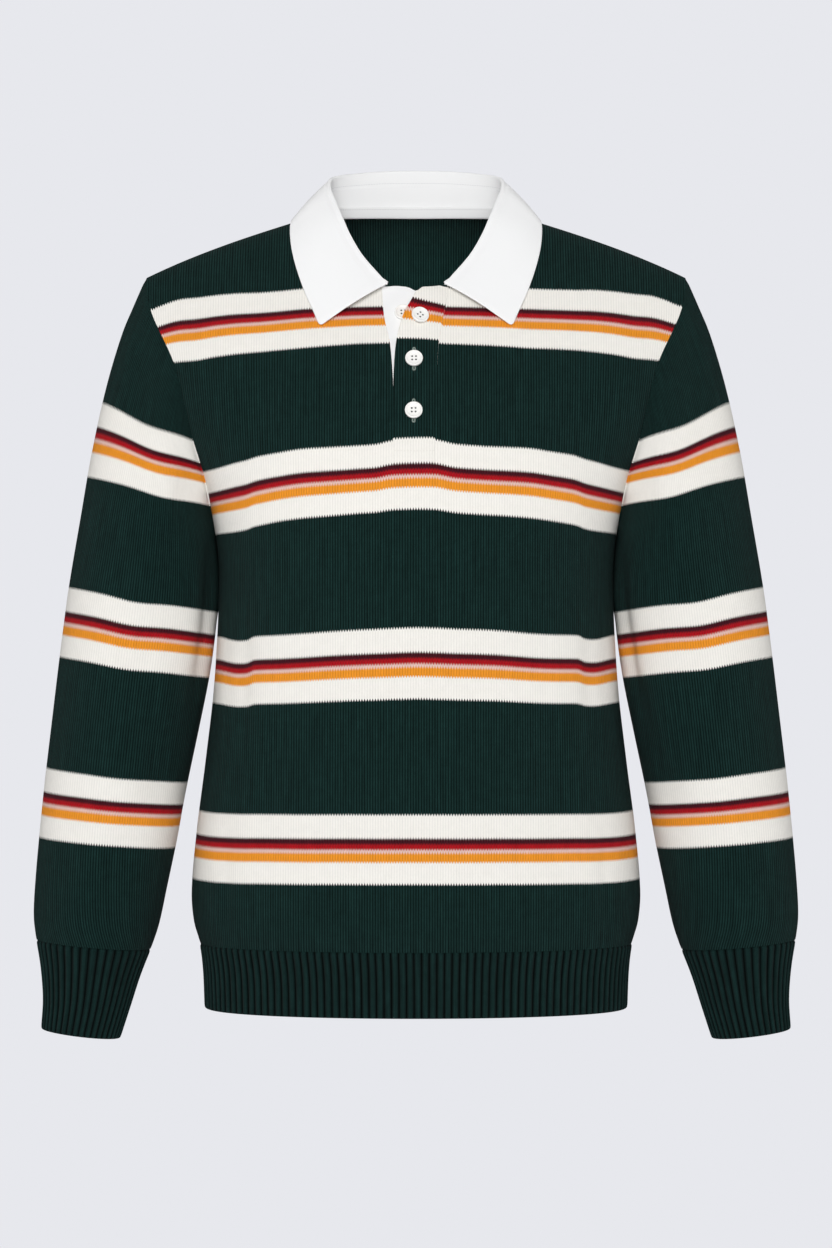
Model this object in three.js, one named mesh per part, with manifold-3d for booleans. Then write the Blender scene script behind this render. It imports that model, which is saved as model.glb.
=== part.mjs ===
// A long-sleeved knitted rugby sweatshirt with a woven collar, filled out as if worn.
// Millimetres, +Z up, the wearer faces -Y and the wearer's left is +X.
// The origin is the middle of the neck at the height of the high shoulder points.
import * as THREE from 'three';
import { mergeVertices } from 'three/addons/utils/BufferGeometryUtils.js';
import Module from 'manifold-3d';

// ---- cloth and seams ----
const knit = 2.2;          // body, sleeves and the outer placket
const woven = 1.4;         // collar and the inner placket
const seamGap = 0.3;       // every seam keeps this much air between its two pieces

// ---- neck and shoulders ----
const neckHalf = 82;       // high shoulder point, from the centre
const frontNeckDrop = 76;  // front neck seam below the high shoulder points
const backNeckRise = 5;    // back neck seam above them
const neckRound = 0.9;     // 1 is an elliptical front neck, below it squarer
const ridgeY = 6;          // the shoulder seam lies this far behind the centre
const ridgeSlope = 0.31;
const napeRound = 25;      // the ridge line carried on across the neck rounds over its middle
const shoulderSpan = 157;  // neck to shoulder point, across
const ridgeDroop = 9;      // extra fall of the seam at the shoulder point
const frontCap = 130;      // the cloth rounds over the shoulder within this height
const backCap = 110;
const shoulderX = 243;
const shoulderZ = -59.7;

// ---- body ----
const underarmZ = -285;
const hemTopZ = -657;
const hemBottomZ = -714;
const sectionRound = 0.4;  // 0.5 is an ellipse, less is boxier

// Level sections. half: from the centre to the armhole or side seam. full: the half width at
// which the section would close, the same as half below the underarm. front, back: depths.
const torso = [
  { z: 60, half: 262, full: 290, front: 30, back: 114 },
  { z: 10, half: 252, full: 284, front: 34, back: 114 },
  { z: -30, half: 249, full: 280, front: 41, back: 112 },
  { z: -60, half: 243, full: 272, front: 50, back: 111 },
  { z: -91, half: 237, full: 262, front: 61, back: 110 },
  { z: -142, half: 214, full: 238, front: 86, back: 113 },
  { z: -201, half: 199.5, full: 214, front: 109, back: 114 },
  { z: -245, half: 187, full: 192, front: 118, back: 112 },
  { z: -285, half: 181, full: 181, front: 121, back: 109 },
  { z: -330, half: 177, full: 177, front: 119, back: 105 },
  { z: -421, half: 181, full: 181, front: 113, back: 98 },
  { z: -493, half: 189, full: 189, front: 110, back: 97 },
  { z: -556, half: 197, full: 197, front: 110, back: 100 },
  { z: -610, half: 201.5, full: 201.5, front: 111, back: 103 },
  { z: -637, half: 199.5, full: 199.5, front: 109, back: 102 },
  { z: -657, half: 194, full: 194, front: 104, back: 98 },
  { z: -680, half: 191, full: 191, front: 100, back: 95 },
  { z: -714, half: 189.5, full: 189.5, front: 99, back: 94 },
];
// Soft folds that fall from the chest to the hem, on both sides. x, z: the upper end and the
// lower end of the fold's line. wide: across it. deep: in from the surface.
const bodyFolds = [
  { x: 172, z: -215, endX: 158, endZ: -470, wide: 17, deep: 5 },
  { x: 150, z: -300, endX: 168, endZ: -640, wide: 15, deep: 3 },
  { x: 120, z: -420, endX: 135, endZ: -650, wide: 18, deep: 2.5 },
  { x: 60, z: -500, endX: 72, endZ: -655, wide: 16, deep: 1.5 },
];

// ---- placket ----
// Edges of the slot in the front, from the centre. right and left are the wearer's.
const slot = [
  { z: -60, right: -30.5, left: 28 },
  { z: -84, right: -29.5, left: 27 },
  { z: -103, right: -27.6, left: 23.5 },
  { z: -125, right: -22.8, left: 20 },
  { z: -168, right: -19.8, left: 17.2 },
  { z: -234, right: -19.8, left: 15.8 },
];
const slotEndZ = -234;
const slotCornerZ = -70;   // the neck seam at the slot is no higher than this
const placketFold = [
  { z: -70, x: 3.5 },
  { z: -77, x: 1 },
  { z: -84, x: -2.5 },
  { z: -98, x: -10 },
  { z: -118, x: -15.5 },
  { z: -140, x: -18 },
  { z: -168, x: -19 },
  { z: -234, x: -19.4 },
];

const placketLift = 0.5;   // the outer placket stands proud of the front
const placketSpring = 6.5; // further out where its top corner springs open
const springFrom = -136;   // below this it lies flat
const underSink = 2.2;     // the inner placket lies this far behind the front's surface

// ---- buttons ----
const buttonWidth = 15.5;
const buttonThick = 2.6;
const buttonEdge = 0.8;    // rounding of the outer edge
const buttonRim = 1.8;     // width of the raised rim
const buttonDish = 0.9;    // the middle lies this far under the rim
const buttonHole = { width: 1.7, apart: 3.3 };
const buttonSides = 20;
// x, z: the button's middle. lift: its back, out from the front's surface. turn: towards the
// wearer's right, in radians, where the placket under it twists open.
const buttonSpots = [
  { name: 'button_top', x: 3.5, z: -99.5, lift: 4, turn: 0.25 },
  { name: 'button_middle', x: -1.7, z: -139, lift: 1.1, turn: 0 },
  { name: 'button_lower', x: -2, z: -185.5, lift: 1.1, turn: 0 },
  { name: 'button_under', x: -11.2, z: -96.5, lift: -1.8, turn: 0 },
];

// ---- collar ----
// Stations from the middle of the back to the front end. neckX: on the neck seam.
// foldX, foldY, foldZ: the crown of the fold. edgeX, edgeZ: the leaf's edge, on the body.
const collar = [
  { side: 'back', neckX: 0, foldX: 0, foldY: 60, foldZ: 45, edgeX: 0, edgeZ: -14 },
  { side: 'back', neckX: 28, foldX: 30, foldY: 56, foldZ: 44, edgeX: 38, edgeZ: -15 },
  { side: 'back', neckX: 52, foldX: 55, foldY: 45, foldZ: 40.5, edgeX: 74, edgeZ: -17 },
  { side: 'back', neckX: 70, foldX: 71, foldY: 30, foldZ: 36.5, edgeX: 101, edgeZ: -18 },
  { side: 'back', neckX: 79.5, foldX: 78, foldY: 14, foldZ: 31.5, edgeX: 110, edgeZ: -10.8 },
  { side: 'front', neckX: 82, foldX: 78.2, foldY: 0, foldZ: 22, edgeX: 111.5, edgeZ: -11.2 },
  { side: 'front', neckX: 81, foldX: 73.6, foldY: -12, foldZ: 9.5, edgeX: 112, edgeZ: -23 },
  { side: 'front', neckX: 77, foldX: 67.8, foldY: -24, foldZ: -5.5, edgeX: 110, edgeZ: -39 },
  { side: 'front', neckX: 69, foldX: 60.2, foldY: -33, foldZ: -23.5, edgeX: 105, edgeZ: -58 },
  { side: 'front', neckX: 57, foldX: 49.6, foldY: -42, foldZ: -42, edgeX: 97.5, edgeZ: -79 },
  { side: 'front', neckX: 43, foldX: 35.8, foldY: -51, foldZ: -59, edgeX: 90, edgeZ: -96 },
  { side: 'front', neckX: 29, foldX: 26.3, foldY: -57, foldZ: -69.5, edgeX: 84.3, edgeZ: -109.5 },
];
const leafLift = 4.2;      // the leaf's outside edge, out from the body
const leafBow = 2.5;       // how far the leaf bows out between fold and edge
const crownInset = 0.8;    // the leaf's first edge, in from the crown of the fold
const crownDrop = 0.2;
const standDrop = 4;       // the stand's top, under the crown
const standInset = 0.3;
const footRise = 0.9;      // the stand's foot, up from the neck seam and in from it
const footInset = 0.5;
const tapeAbove = 5.5;     // the tape covers the back neck seam from inside, and lies on the stand
const tapeBelow = 2.5;     // and the back by these widths
const tapeThick = 1;
const tapeOffStand = 3.5;
const tapeOffPanel = 1;

// ---- sleeve ----
// Rings from the armhole to the cuff's free end, seen from the front. outX, outZ: the outer
// edge. inX, inZ: the edge beside the body. deep: front to back, halved. y: how far back.
const armRings = [
  { ring: 0, outX: 243.6, outZ: -59.7, inX: 181.3, inZ: -285, deep: 60, y: 8 },
  { ring: 1, outX: 255, outZ: -86, inX: 182, inZ: -291, deep: 61, y: 7 },
  { ring: 2, outX: 265.5, outZ: -112, inX: 181.4, inZ: -299, deep: 61, y: 6 },
  { ring: 3, outX: 279, outZ: -158, inX: 180, inZ: -312, deep: 61, y: 5 },
  { ring: 4, outX: 291.8, outZ: -216, inX: 179, inZ: -330, deep: 61, y: 4 },
  { ring: 5, outX: 302.2, outZ: -276, inX: 178.6, inZ: -353, deep: 61, y: 4 },
  { ring: 6, outX: 312.5, outZ: -337, inX: 181, inZ: -382, deep: 60, y: 4 },
  { ring: 7, outX: 320.5, outZ: -397, inX: 186.5, inZ: -420, deep: 59, y: 4 },
  { ring: 8, outX: 327.5, outZ: -455, inX: 196, inZ: -467, deep: 58, y: 4 },
  { ring: 9, outX: 334, outZ: -511, inX: 207.5, inZ: -522, deep: 57, y: 3 },
  { ring: 10, outX: 338.5, outZ: -556, inX: 215.5, inZ: -566, deep: 56, y: 2 },
  { ring: 11, outX: 342.3, outZ: -600, inX: 224, inZ: -607, deep: 53, y: 1 },
  { ring: 12, outX: 343.8, outZ: -632, inX: 231, inZ: -640, deep: 49, y: 0 },
  { ring: 13, outX: 341.5, outZ: -654, inX: 238.5, inZ: -663, deep: 43, y: -1 },
];
const cuffRings = [
  { ring: 0, outX: 341, outZ: -654.4, inX: 239, inZ: -663.4, deep: 42.5, y: -1 },
  { ring: 1, outX: 336.9, outZ: -680, inX: 248.4, inZ: -687.5, deep: 36, y: -2 },
  { ring: 2, outX: 334.9, outZ: -707.5, inX: 257.2, inZ: -715, deep: 31, y: -3 },
  { ring: 3, outX: 336.3, outZ: -733.5, inX: 266, inZ: -742.3, deep: 28, y: -4 },
];

// Soft folds down the sleeve. turn, ring: the upper end, with turn in radians from the outer edge
// towards the back. wide: across it in radians. deep: in from the surface.
const sleeveFolds = [
  { turn: 3.75, ring: 0.5, endTurn: 4.35, endRing: 6.5, wide: 0.3, deep: 4 },
  { turn: 5.3, ring: 4.5, endTurn: 4, endRing: 9, wide: 0.32, deep: 2.5 },
  { turn: 4.3, ring: 9, endTurn: 4.9, endRing: 13, wide: 0.3, deep: 2.5 },
  { turn: 2.5, ring: 0.5, endTurn: 1.9, endRing: 7, wide: 0.3, deep: 4.5 },
  { turn: 1, ring: 6, endTurn: 2.4, endRing: 9.5, wide: 0.32, deep: 3.5 },
  { turn: 2.1, ring: 9.5, endTurn: 1.3, endRing: 13, wide: 0.3, deep: 3 },
];
const armholeGap = 0.35;   // the sleeve's first ring, out from the body's edge
const fadeRings = 7;       // the armhole's own shape fades out over these rings
// The sleeve is one cut piece. It is two solids, parted at this ring, so that each is a short
// tube with an open inside.
const partRing = 6;
const partGap = 0.008;     // in rings

// ---- ribs ----
const hemRibs = 144;
const cuffRibs = 40;
const ribDepth = 1.1;

const lerp = THREE.MathUtils.lerp;
const smooth = (t) => THREE.MathUtils.smoothstep(t, 0, 1);
const range = (count) => [...Array(count).keys()];

// ---- tables read as smooth columns ----
function column(table, key, name) {
  const rows = [...table].sort((p, q) => p[key] - q[key]);
  const at = rows.map((row) => row[key]);
  const value = rows.map((row) => row[name]);
  const last = rows.length - 1;
  const slope = value.map((_, i) => {
    const before = Math.max(i - 1, 0);
    const after = Math.min(i + 1, last);
    return (value[after] - value[before]) / (at[after] - at[before]);
  });
  return (where) => {
    let i = 0;
    while (i < last - 1 && where > at[i + 1]) i += 1;
    const span = at[i + 1] - at[i];
    const t = THREE.MathUtils.clamp((where - at[i]) / span, 0, 1);
    const u = 1 - t;
    return value[i] * u * u * (1 + 2 * t) + value[i + 1] * t * t * (3 - 2 * t)
      + span * t * u * (slope[i] * u - slope[i + 1] * t);
  };
}
const bodyHalf = column(torso, 'z', 'half');
const bodyFull = column(torso, 'z', 'full');
const bodyDepth = { front: column(torso, 'z', 'front'), back: column(torso, 'z', 'back') };
const slotRight = column(slot, 'z', 'right');
const slotLeft = column(slot, 'z', 'left');
const foldX = column(placketFold, 'z', 'x');

// ---- body surface ----
function ridgeZ(x) {
  const soft = (wide) => Math.hypot(wide, napeRound);
  const out = soft(x) - soft(neckHalf);
  return -out * ridgeSlope - ridgeDroop * Math.max(0, out / shoulderSpan) ** 3;
}
function foldIn(x, z) {
  let depth = 0;
  for (const fold of bodyFolds) {
    const along = (z - fold.z) / (fold.endZ - fold.z);
    if (along <= 0 || along >= 1) continue;
    const line = fold.x + (fold.endX - fold.x) * along;
    const off = (Math.abs(x) - line) / fold.wide;
    depth += fold.deep * Math.sin(Math.PI * along) * Math.exp(-off * off);
  }
  return depth;
}
function bodyPoint(side, x, z, lift = 0) {
  const sign = side === 'front' ? -1 : 1;
  const across = Math.min(Math.abs(x) / bodyFull(z), 1);
  const depth = bodyDepth[side](z) - foldIn(x, z);
  const full = sign * depth * (1 - across * across) ** sectionRound;
  const below = Math.max(ridgeZ(x) - z, 0) / (side === 'front' ? frontCap : backCap);
  const cap = Math.sqrt(1 - Math.max(1 - below, 0) ** 2);
  const up = THREE.MathUtils.clamp((z - underarmZ) / (shoulderZ - underarmZ), 0, 1);
  const start = ridgeY * up;
  return new THREE.Vector3(x, start + (full - start) * cap + sign * lift, z);
}

// The way out of the body's surface.
function bodyOut(side, x, z) {
  const here = bodyPoint(side, x, z);
  const down = bodyPoint(side, x, z - 0.5).sub(here);
  const right = bodyPoint(side, x + 0.5, z).sub(here).multiplyScalar(side === 'front' ? 1 : -1);
  return down.cross(right).normalize();
}
function neckZ(side, x) {
  const share = Math.min(Math.abs(x) / neckHalf, 1);
  if (side === 'back') return backNeckRise * (1 - share * share);
  return -frontNeckDrop * (1 - share ** (2 / neckRound)) ** (neckRound / 2);
}
function topZ(side, x) {
  return Math.abs(x) < neckHalf ? neckZ(side, x) : ridgeZ(x);
}

// ---- walls ----
// A wall is a grid of outer points with an inner point behind each. Rows run down, and columns
// to the right as seen from outside. Cells that keep refuses are left open, with a rim.
const cotton = (color) => new THREE.MeshStandardMaterial({ color, roughness: 0.9, metalness: 0 });
const green = cotton(0x132624);
const white = cotton(0xf6f6f4);
const pearl = new THREE.MeshStandardMaterial({ color: 0xf4f3ef, roughness: 0.35, metalness: 0 });

function gridNormals(grid, closed) {
  const rows = grid.length;
  const cols = grid[0].length;
  return grid.map((row, i) => row.map((_, j) => {
    const above = grid[Math.max(i - 1, 0)][j];
    const below = grid[Math.min(i + 1, rows - 1)][j];
    const left = row[closed ? (j + cols - 1) % cols : Math.max(j - 1, 0)];
    const right = row[closed ? (j + 1) % cols : Math.min(j + 1, cols - 1)];
    const down = below.clone().sub(above);
    return down.cross(right.clone().sub(left)).normalize();
  }));
}
function wallInside(grid, thick, closed = false, bend = (normal) => normal) {
  return gridNormals(grid, closed).map((row, i) => row.map((normal, j) => {
    const straight = bend(normal, i, j).normalize();
    return grid[i][j].clone().addScaledVector(straight, -thick);
  }));
}
function wall(name, outer, inner, look, closed = false, keep = () => true) {
  const rows = outer.length - 1;
  const cols = outer[0].length - (closed ? 0 : 1);
  const wrap = (j) => (closed ? (j + cols) % cols : j);
  const kept = (i, j) => i >= 0 && i < rows && (closed || (j >= 0 && j < cols)) && keep(i, wrap(j));
  const spots = [];
  const index = new Map();
  const spot = (layer, i, j) => {
    const key = `${layer} ${i} ${wrap(j)}`;
    if (!index.has(key)) {
      index.set(key, spots.length / 3);
      spots.push(...(layer === 'out' ? outer : inner)[i][wrap(j)].toArray());
    }
    return index.get(key);
  };
  const faces = [];
  const quad = (a, b, c, d) => faces.push(a, b, c, a, c, d);
  const rim = (i, j, k, l) => {
    quad(spot('out', i, j), spot('out', k, l), spot('in', k, l), spot('in', i, j));
  };
  for (const i of range(rows)) {
    for (const j of range(cols)) {
      if (!kept(i, j)) continue;
      const corners = [[i, j], [i + 1, j], [i + 1, j + 1], [i, j + 1]];
      quad(...corners.map((corner) => spot('out', ...corner)));
      quad(...corners.map((corner) => spot('in', ...corner)).reverse());
      if (!kept(i - 1, j)) rim(i, j, i, j + 1);
      if (!kept(i + 1, j)) rim(i + 1, j + 1, i + 1, j);
      if (!kept(i, j - 1)) rim(i + 1, j, i, j);
      if (!kept(i, j + 1)) rim(i, j + 1, i + 1, j + 1);
    }
  }
  const shape = new THREE.BufferGeometry();
  shape.setAttribute('position', new THREE.Float32BufferAttribute(spots, 3));
  shape.setIndex(faces);
  shape.computeVertexNormals();
  const mesh = new THREE.Mesh(shape, look.clone());
  mesh.name = name;
  return mesh;
}
function mirrored(mesh, name) {
  const shape = mesh.geometry.clone();
  shape.scale(-1, 1, 1);
  shape.setIndex([...mesh.geometry.index.array].reverse());
  shape.computeVertexNormals();
  const copy = new THREE.Mesh(shape, mesh.material.clone());
  copy.name = name;
  return copy;
}

// ---- front and back ----
const slotRows = 8;        // rows from the top to the end of the slot
const capRows = 11;        // rows from the top to the underarm
const bodyRows = 20;
const slotShare = 0.1;     // half the slot's share of the columns' parameter
const shoulderColumns = 10;
const columnCrowd = 1.7;   // columns get closer towards the side by this power
const hemShare = (hemTopZ - slotEndZ) / (hemTopZ - slotCornerZ);
// The back is one cut piece too. It is two solids, parted level with the underarm.
const backPartGap = 0.008; // in rows

// Rows get closer towards the top, where the cloth rounds over. Every column whose top is at
// the slot has a row at the slot's end.
function slotLevel(top) {
  return slotEndZ + Math.max(0, top - slotCornerZ) * hemShare;
}
const underarmShare = (underarmZ - slotLevel(shoulderZ)) / (hemTopZ - slotLevel(shoulderZ));
function rowZ(top, i) {
  const level = slotLevel(top);
  if (i <= slotRows) return lerp(top, level, (i / slotRows) ** 1.5);
  const underarm = lerp(level, hemTopZ, underarmShare);
  if (i <= capRows) return lerp(level, underarm, (i - slotRows) / (capRows - slotRows));
  return lerp(underarm, hemTopZ, (i - capRows) / (bodyRows - capRows));
}
function frontX(share, z) {
  const beyond = (Math.abs(share) - slotShare) / (1 - slotShare);
  if (beyond <= 0) return lerp(slotRight(z), slotLeft(z), (share / slotShare + 1) / 2);
  return share < 0 ? lerp(slotRight(z), -bodyHalf(z), beyond) : lerp(slotLeft(z), bodyHalf(z), beyond);
}
const backX = (share, z) => share * bodyHalf(z);
function frontShare(x) {
  const z = topZ('front', x);
  const edge = x < 0 ? slotRight(z) : slotLeft(z);
  const beyond = (Math.abs(x) - Math.abs(edge)) / (bodyHalf(z) - Math.abs(edge));
  return Math.sign(x) * (slotShare + (1 - slotShare) * beyond);
}
const backShare = (x) => x / bodyHalf(topZ('back', x));

const shoulderSteps = range(shoulderColumns - 1)
  .map((k) => lerp(shoulderX, neckHalf, (1 - (k + 1) / shoulderColumns) ** columnCrowd));
const frontNeckSteps = collar.filter((row) => row.side === 'front').map((row) => row.neckX);
const backNeckSteps = collar.filter((row) => row.side === 'back').map((row) => row.neckX);
const frontHalf = [...[...frontNeckSteps].reverse().slice(1), ...shoulderSteps];
const backHalf = [...backNeckSteps.slice(1), neckHalf, ...shoulderSteps];
const flip = (list) => [...list].reverse().map((value) => -value);
const frontShares = [
  -1, ...flip(frontHalf).map(frontShare), -slotShare, slotShare, ...frontHalf.map(frontShare), 1,
];
const backShares = [1, ...[...flip(backHalf), 0, ...backHalf].map((x) => -backShare(x)), -1];

function panelGrid(side, shares, acrossAt, rows) {
  return rows.map((i) => shares.map((share) => {
    let top = shoulderZ;
    for (let pass = 0; pass < 30; pass += 1) top = lerp(top, topZ(side, acrossAt(share, top)), 0.7);
    const edge = Math.abs(share) === 1;
    if (edge) top = shoulderZ;
    const z = rowZ(top, i);
    const point = bodyPoint(side, acrossAt(share, z), z);
    const onSeam = (edge && i >= capRows) || (i === 0 && Math.abs(point.x) >= neckHalf - 0.01);
    if (onSeam) point.y = (i === 0 ? ridgeY : 0) + (side === 'front' ? -seamGap : seamGap) / 2;
    return point;
  }));
}
// At the shoulder and side seams, and where a panel ends or is parted, the wall's edge faces its
// neighbour squarely.
function panelInside(grid, rows) {
  const last = grid[0].length - 1;
  return wallInside(grid, knit, false, (normal, i, j) => {
    const side = (j === 0 || j === last) && rows[i] >= capRows;
    const shoulder = rows[i] === 0 && Math.abs(grid[0][j].x) >= neckHalf - 0.01;
    if (side || shoulder) normal.y = 0;
    if (i === rows.length - 1 || (i === 0 && rows[0] > 0)) normal.z = 0;
    return normal;
  });
}
const allRows = range(bodyRows + 1);
const upperRows = allRows.slice(0, capRows + 1);
const lowerRows = [capRows + backPartGap, ...allRows.slice(capRows + 1)];
const frontGrid = panelGrid('front', frontShares, frontX, allRows);
const backGrid = panelGrid('back', backShares, backX, upperRows);
const backLowerGrid = panelGrid('back', backShares, backX, lowerRows);
const frontInside = panelInside(frontGrid, allRows);
const backInside = panelInside(backGrid, upperRows);
const slotColumn = frontShares.indexOf(-slotShare);
const front = wall('front_panel', frontGrid, frontInside, green, false,
  (i, j) => j !== slotColumn || i >= slotRows);
const back = wall('back_panel_upper', backGrid, backInside, green);
const backLower = wall('back_panel_lower', backLowerGrid, panelInside(backLowerGrid, lowerRows), green);

// ---- sleeves and cuffs ----
function ringPoint(table, ring, turn) {
  const at = (name) => column(table, 'ring', name)(ring);
  const outer = new THREE.Vector3(at('outX'), at('y'), at('outZ'));
  const inner = new THREE.Vector3(at('inX'), at('y'), at('inZ'));
  const middle = outer.clone().lerp(inner, 0.5);
  const across = outer.sub(inner).multiplyScalar(Math.cos(turn) / 2);
  const deep = new THREE.Vector3(0, at('deep') * Math.sin(turn), 0);
  return { middle, point: middle.clone().add(across).add(deep) };
}
function sleevePoint(ring, turn) {
  const { middle, point } = ringPoint(armRings, ring, turn);
  const inward = middle.sub(point).normalize();
  for (const fold of sleeveFolds) {
    const along = (ring - fold.ring) / (fold.endRing - fold.ring);
    const off = (turn - lerp(fold.turn, fold.endTurn, along)) / fold.wide;
    const deep = fold.deep * Math.sin(Math.PI * THREE.MathUtils.clamp(along, 0, 1));
    point.addScaledVector(inward, deep * Math.exp(-off * off));
  }
  return point;
}
function ringPlane(table, ring) {
  const at = (name) => column(table, 'ring', name)(ring);
  return new THREE.Vector3(at('outZ') - at('inZ'), 0, at('inX') - at('outX')).normalize();
}
// The wall stands square to these rings, whatever the slope of its surface.
const squareTo = (table, rings, squared) => (normal, i) => {
  if (squared.includes(rings[i])) normal.projectOnPlane(ringPlane(table, rings[i]));
  return normal;
};

const lastColumn = frontGrid[0].length - 1;
const frontEdge = range(capRows + 1).map((i) => [frontGrid[i][lastColumn], frontInside[i][lastColumn]]);
const backEdge = range(capRows + 1).map((i) => [backGrid[i][0], backInside[i][0]]);
const between = (p, q) => p.map((point, k) => point.clone().lerp(q[k], 0.5));
const armhole = [
  between(frontEdge[0], backEdge[0]),
  ...backEdge.slice(1, capRows),
  between(frontEdge[capRows], backEdge[capRows]),
  ...frontEdge.slice(1, capRows).reverse(),
];
const sleeveStep = armhole.map((_, j) => (2 * Math.PI * j) / armhole.length);
function sleeveTube(name, rings) {
  const grid = rings.map((ring) => armhole.map(([edge], j) => {
    const fade = 1 - smooth(ring / fadeRings);
    const own = edge.clone().sub(ringPoint(armRings, 0, sleeveStep[j]).point);
    if (ring === 0) own.x += armholeGap;
    return sleevePoint(ring, sleeveStep[j]).addScaledVector(own, fade);
  }));
  const ends = [rings[0], rings.at(-1)];
  const inside = wallInside(grid, knit, true, squareTo(armRings, rings, ends));
  if (rings[0] === 0) {
    inside[0] = armhole.map(([, point]) => point.clone().add(new THREE.Vector3(armholeGap, 0, 0)));
  }
  return wall(name, grid, inside, green, true);
}
const armSteps = armRings.map(({ ring }) => ring);
const upperRings = armSteps.filter((ring) => ring <= partRing);
const lowerRings = [partRing + partGap, ...armSteps.filter((ring) => ring > partRing)];
const sleeveUpper = sleeveTube('sleeve_left_upper', upperRings);
const sleeveLower = sleeveTube('sleeve_left_lower', lowerRings);

const cuffBase = cuffRings.map(({ ring }) => range(cuffRibs * 2)
  .map((j) => ringPoint(cuffRings, ring, (Math.PI * j) / cuffRibs).point));
const cuffSteps = cuffRings.map(({ ring }) => ring);
const cuffInside = wallInside(cuffBase, knit, true, squareTo(cuffRings, cuffSteps, cuffSteps));
const ribbed = (base, inside) => base.map((row, i) => row.map((point, j) => {
  if (j % 2) return point;
  const out = point.clone().sub(inside[i][j]).normalize();
  return point.clone().addScaledVector(out, ribDepth);
}));
const cuff = wall('cuff_left', ribbed(cuffBase, cuffInside), cuffInside, green, true);

// ---- hem ----
function sectionLoop(z, count) {
  const dense = range(721).map((k) => {
    const turn = (k / 720) * 2 * Math.PI;
    const x = -bodyHalf(z) * Math.cos(turn);
    return bodyPoint(turn < Math.PI ? 'front' : 'back', x, z);
  });
  const walked = dense.map(() => 0);
  for (let k = 1; k < dense.length; k += 1) {
    walked[k] = walked[k - 1] + dense[k].distanceTo(dense[k - 1]);
  }
  let k = 1;
  return range(count).map((j) => {
    const goal = (j / count) * walked[720];
    while (walked[k] < goal) k += 1;
    const share = (goal - walked[k - 1]) / (walked[k] - walked[k - 1]);
    return dense[k - 1].clone().lerp(dense[k], share);
  });
}
const hemLevels = [hemTopZ - seamGap, (hemTopZ + hemBottomZ) / 2, hemBottomZ];
const hemBase = hemLevels.map((z) => sectionLoop(z, hemRibs * 2));
const hemInside = wallInside(hemBase, knit, true, (normal) => normal.setZ(0));
const hem = wall('hem_rib', ribbed(hemBase, hemInside), hemInside, green, true);

// ---- plackets ----
// Strips in the slot, on the front's own rows. acrossAt gives x, and liftAt how far out.
function stripGrid(shares, acrossAt, liftAt) {
  return range(slotRows + 1).map((i) => shares.map((across) => {
    let top = -frontNeckDrop;
    for (let pass = 0; pass < 20; pass += 1) top = neckZ('front', acrossAt(across, top));
    const z = rowZ(top, i) + (i === slotRows ? seamGap : 0);
    return bodyPoint('front', acrossAt(across, z), z, liftAt(across, z));
  }));
}
const straightBack = (grid, thick) => grid.map((row) => row
  .map((point) => point.clone().add(new THREE.Vector3(0, thick, 0))));
const overShares = [0, 0.2, 0.45, 0.72, 1];
const overGrid = stripGrid(overShares, (across, z) => lerp(foldX(z), slotLeft(z) - seamGap, across),
  (across, z) => {
    const open = smooth((z - springFrom) / (-frontNeckDrop - springFrom));
    return placketLift + placketSpring * open * (1 - across) ** 1.5;
  });
const over = wall('placket_over', overGrid, straightBack(overGrid, knit), green);

const underShares = [0, 0.22, 0.5, 1];
const underGrid = stripGrid(underShares,
  (across, z) => lerp(slotRight(z) + seamGap, slotLeft(z) - 2, across), () => -underSink);
const under = wall('placket_under', underGrid, straightBack(underGrid, woven), white);

// ---- collar ----
const toward = (p, q, far) => p.clone().addScaledVector(q.clone().sub(p).normalize(), far);
function station(row, sign) {
  const edgeZ = Math.min(row.edgeZ, ridgeZ(row.edgeX) - 1);
  const seamZ = neckZ(row.side, row.neckX);
  const neck = bodyPoint(row.side, row.neckX, seamZ);
  const below = toward(neck, bodyPoint(row.side, row.neckX, seamZ - 0.5), tapeBelow);
  const inward = bodyOut(row.side, row.neckX, seamZ).negate();
  const crown = new THREE.Vector3(row.foldX, row.foldY, row.foldZ);
  const edge = bodyPoint(row.side, row.edgeX, edgeZ);
  const lift = bodyOut(row.side, row.edgeX, edgeZ);
  const out = edge.clone().sub(crown).setZ(0).normalize();
  for (const point of [neck, below, inward, crown, edge, lift, out]) point.x *= sign;
  return { side: row.side, neck, below, inward, crown, edge, lift, out };
}
const stations = [
  ...[...collar].reverse().map((row) => station(row, 1)),
  ...collar.slice(1).map((row) => station(row, -1)),
];
const standGrid = [0, 0.5, 1].map((down) => stations.map(({ neck, crown, out }) => {
  const top = toward(crown, neck, standDrop).addScaledVector(out, -standInset);
  const foot = toward(neck, top, footRise).addScaledVector(out, -footInset);
  return top.lerp(foot, down);
}));
const stand = wall('collar_stand', standGrid, wallInside(standGrid, woven), white);

const leafShares = [0, 0.06, 0.3, 0.55, 0.8, 1];
const leafGrid = leafShares.map((down, i) => stations.map(({ crown, edge, lift, out }) => {
  if (i === 0) return crown.clone().addScaledVector(out, -crownInset).setZ(crown.z - crownDrop);
  const end = edge.clone().addScaledVector(lift, leafLift);
  return crown.clone().lerp(end, down).addScaledVector(lift, Math.sin(Math.PI * down) * leafBow);
}));
const leaf = wall('collar_fall', leafGrid, wallInside(leafGrid, woven), white);

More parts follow.
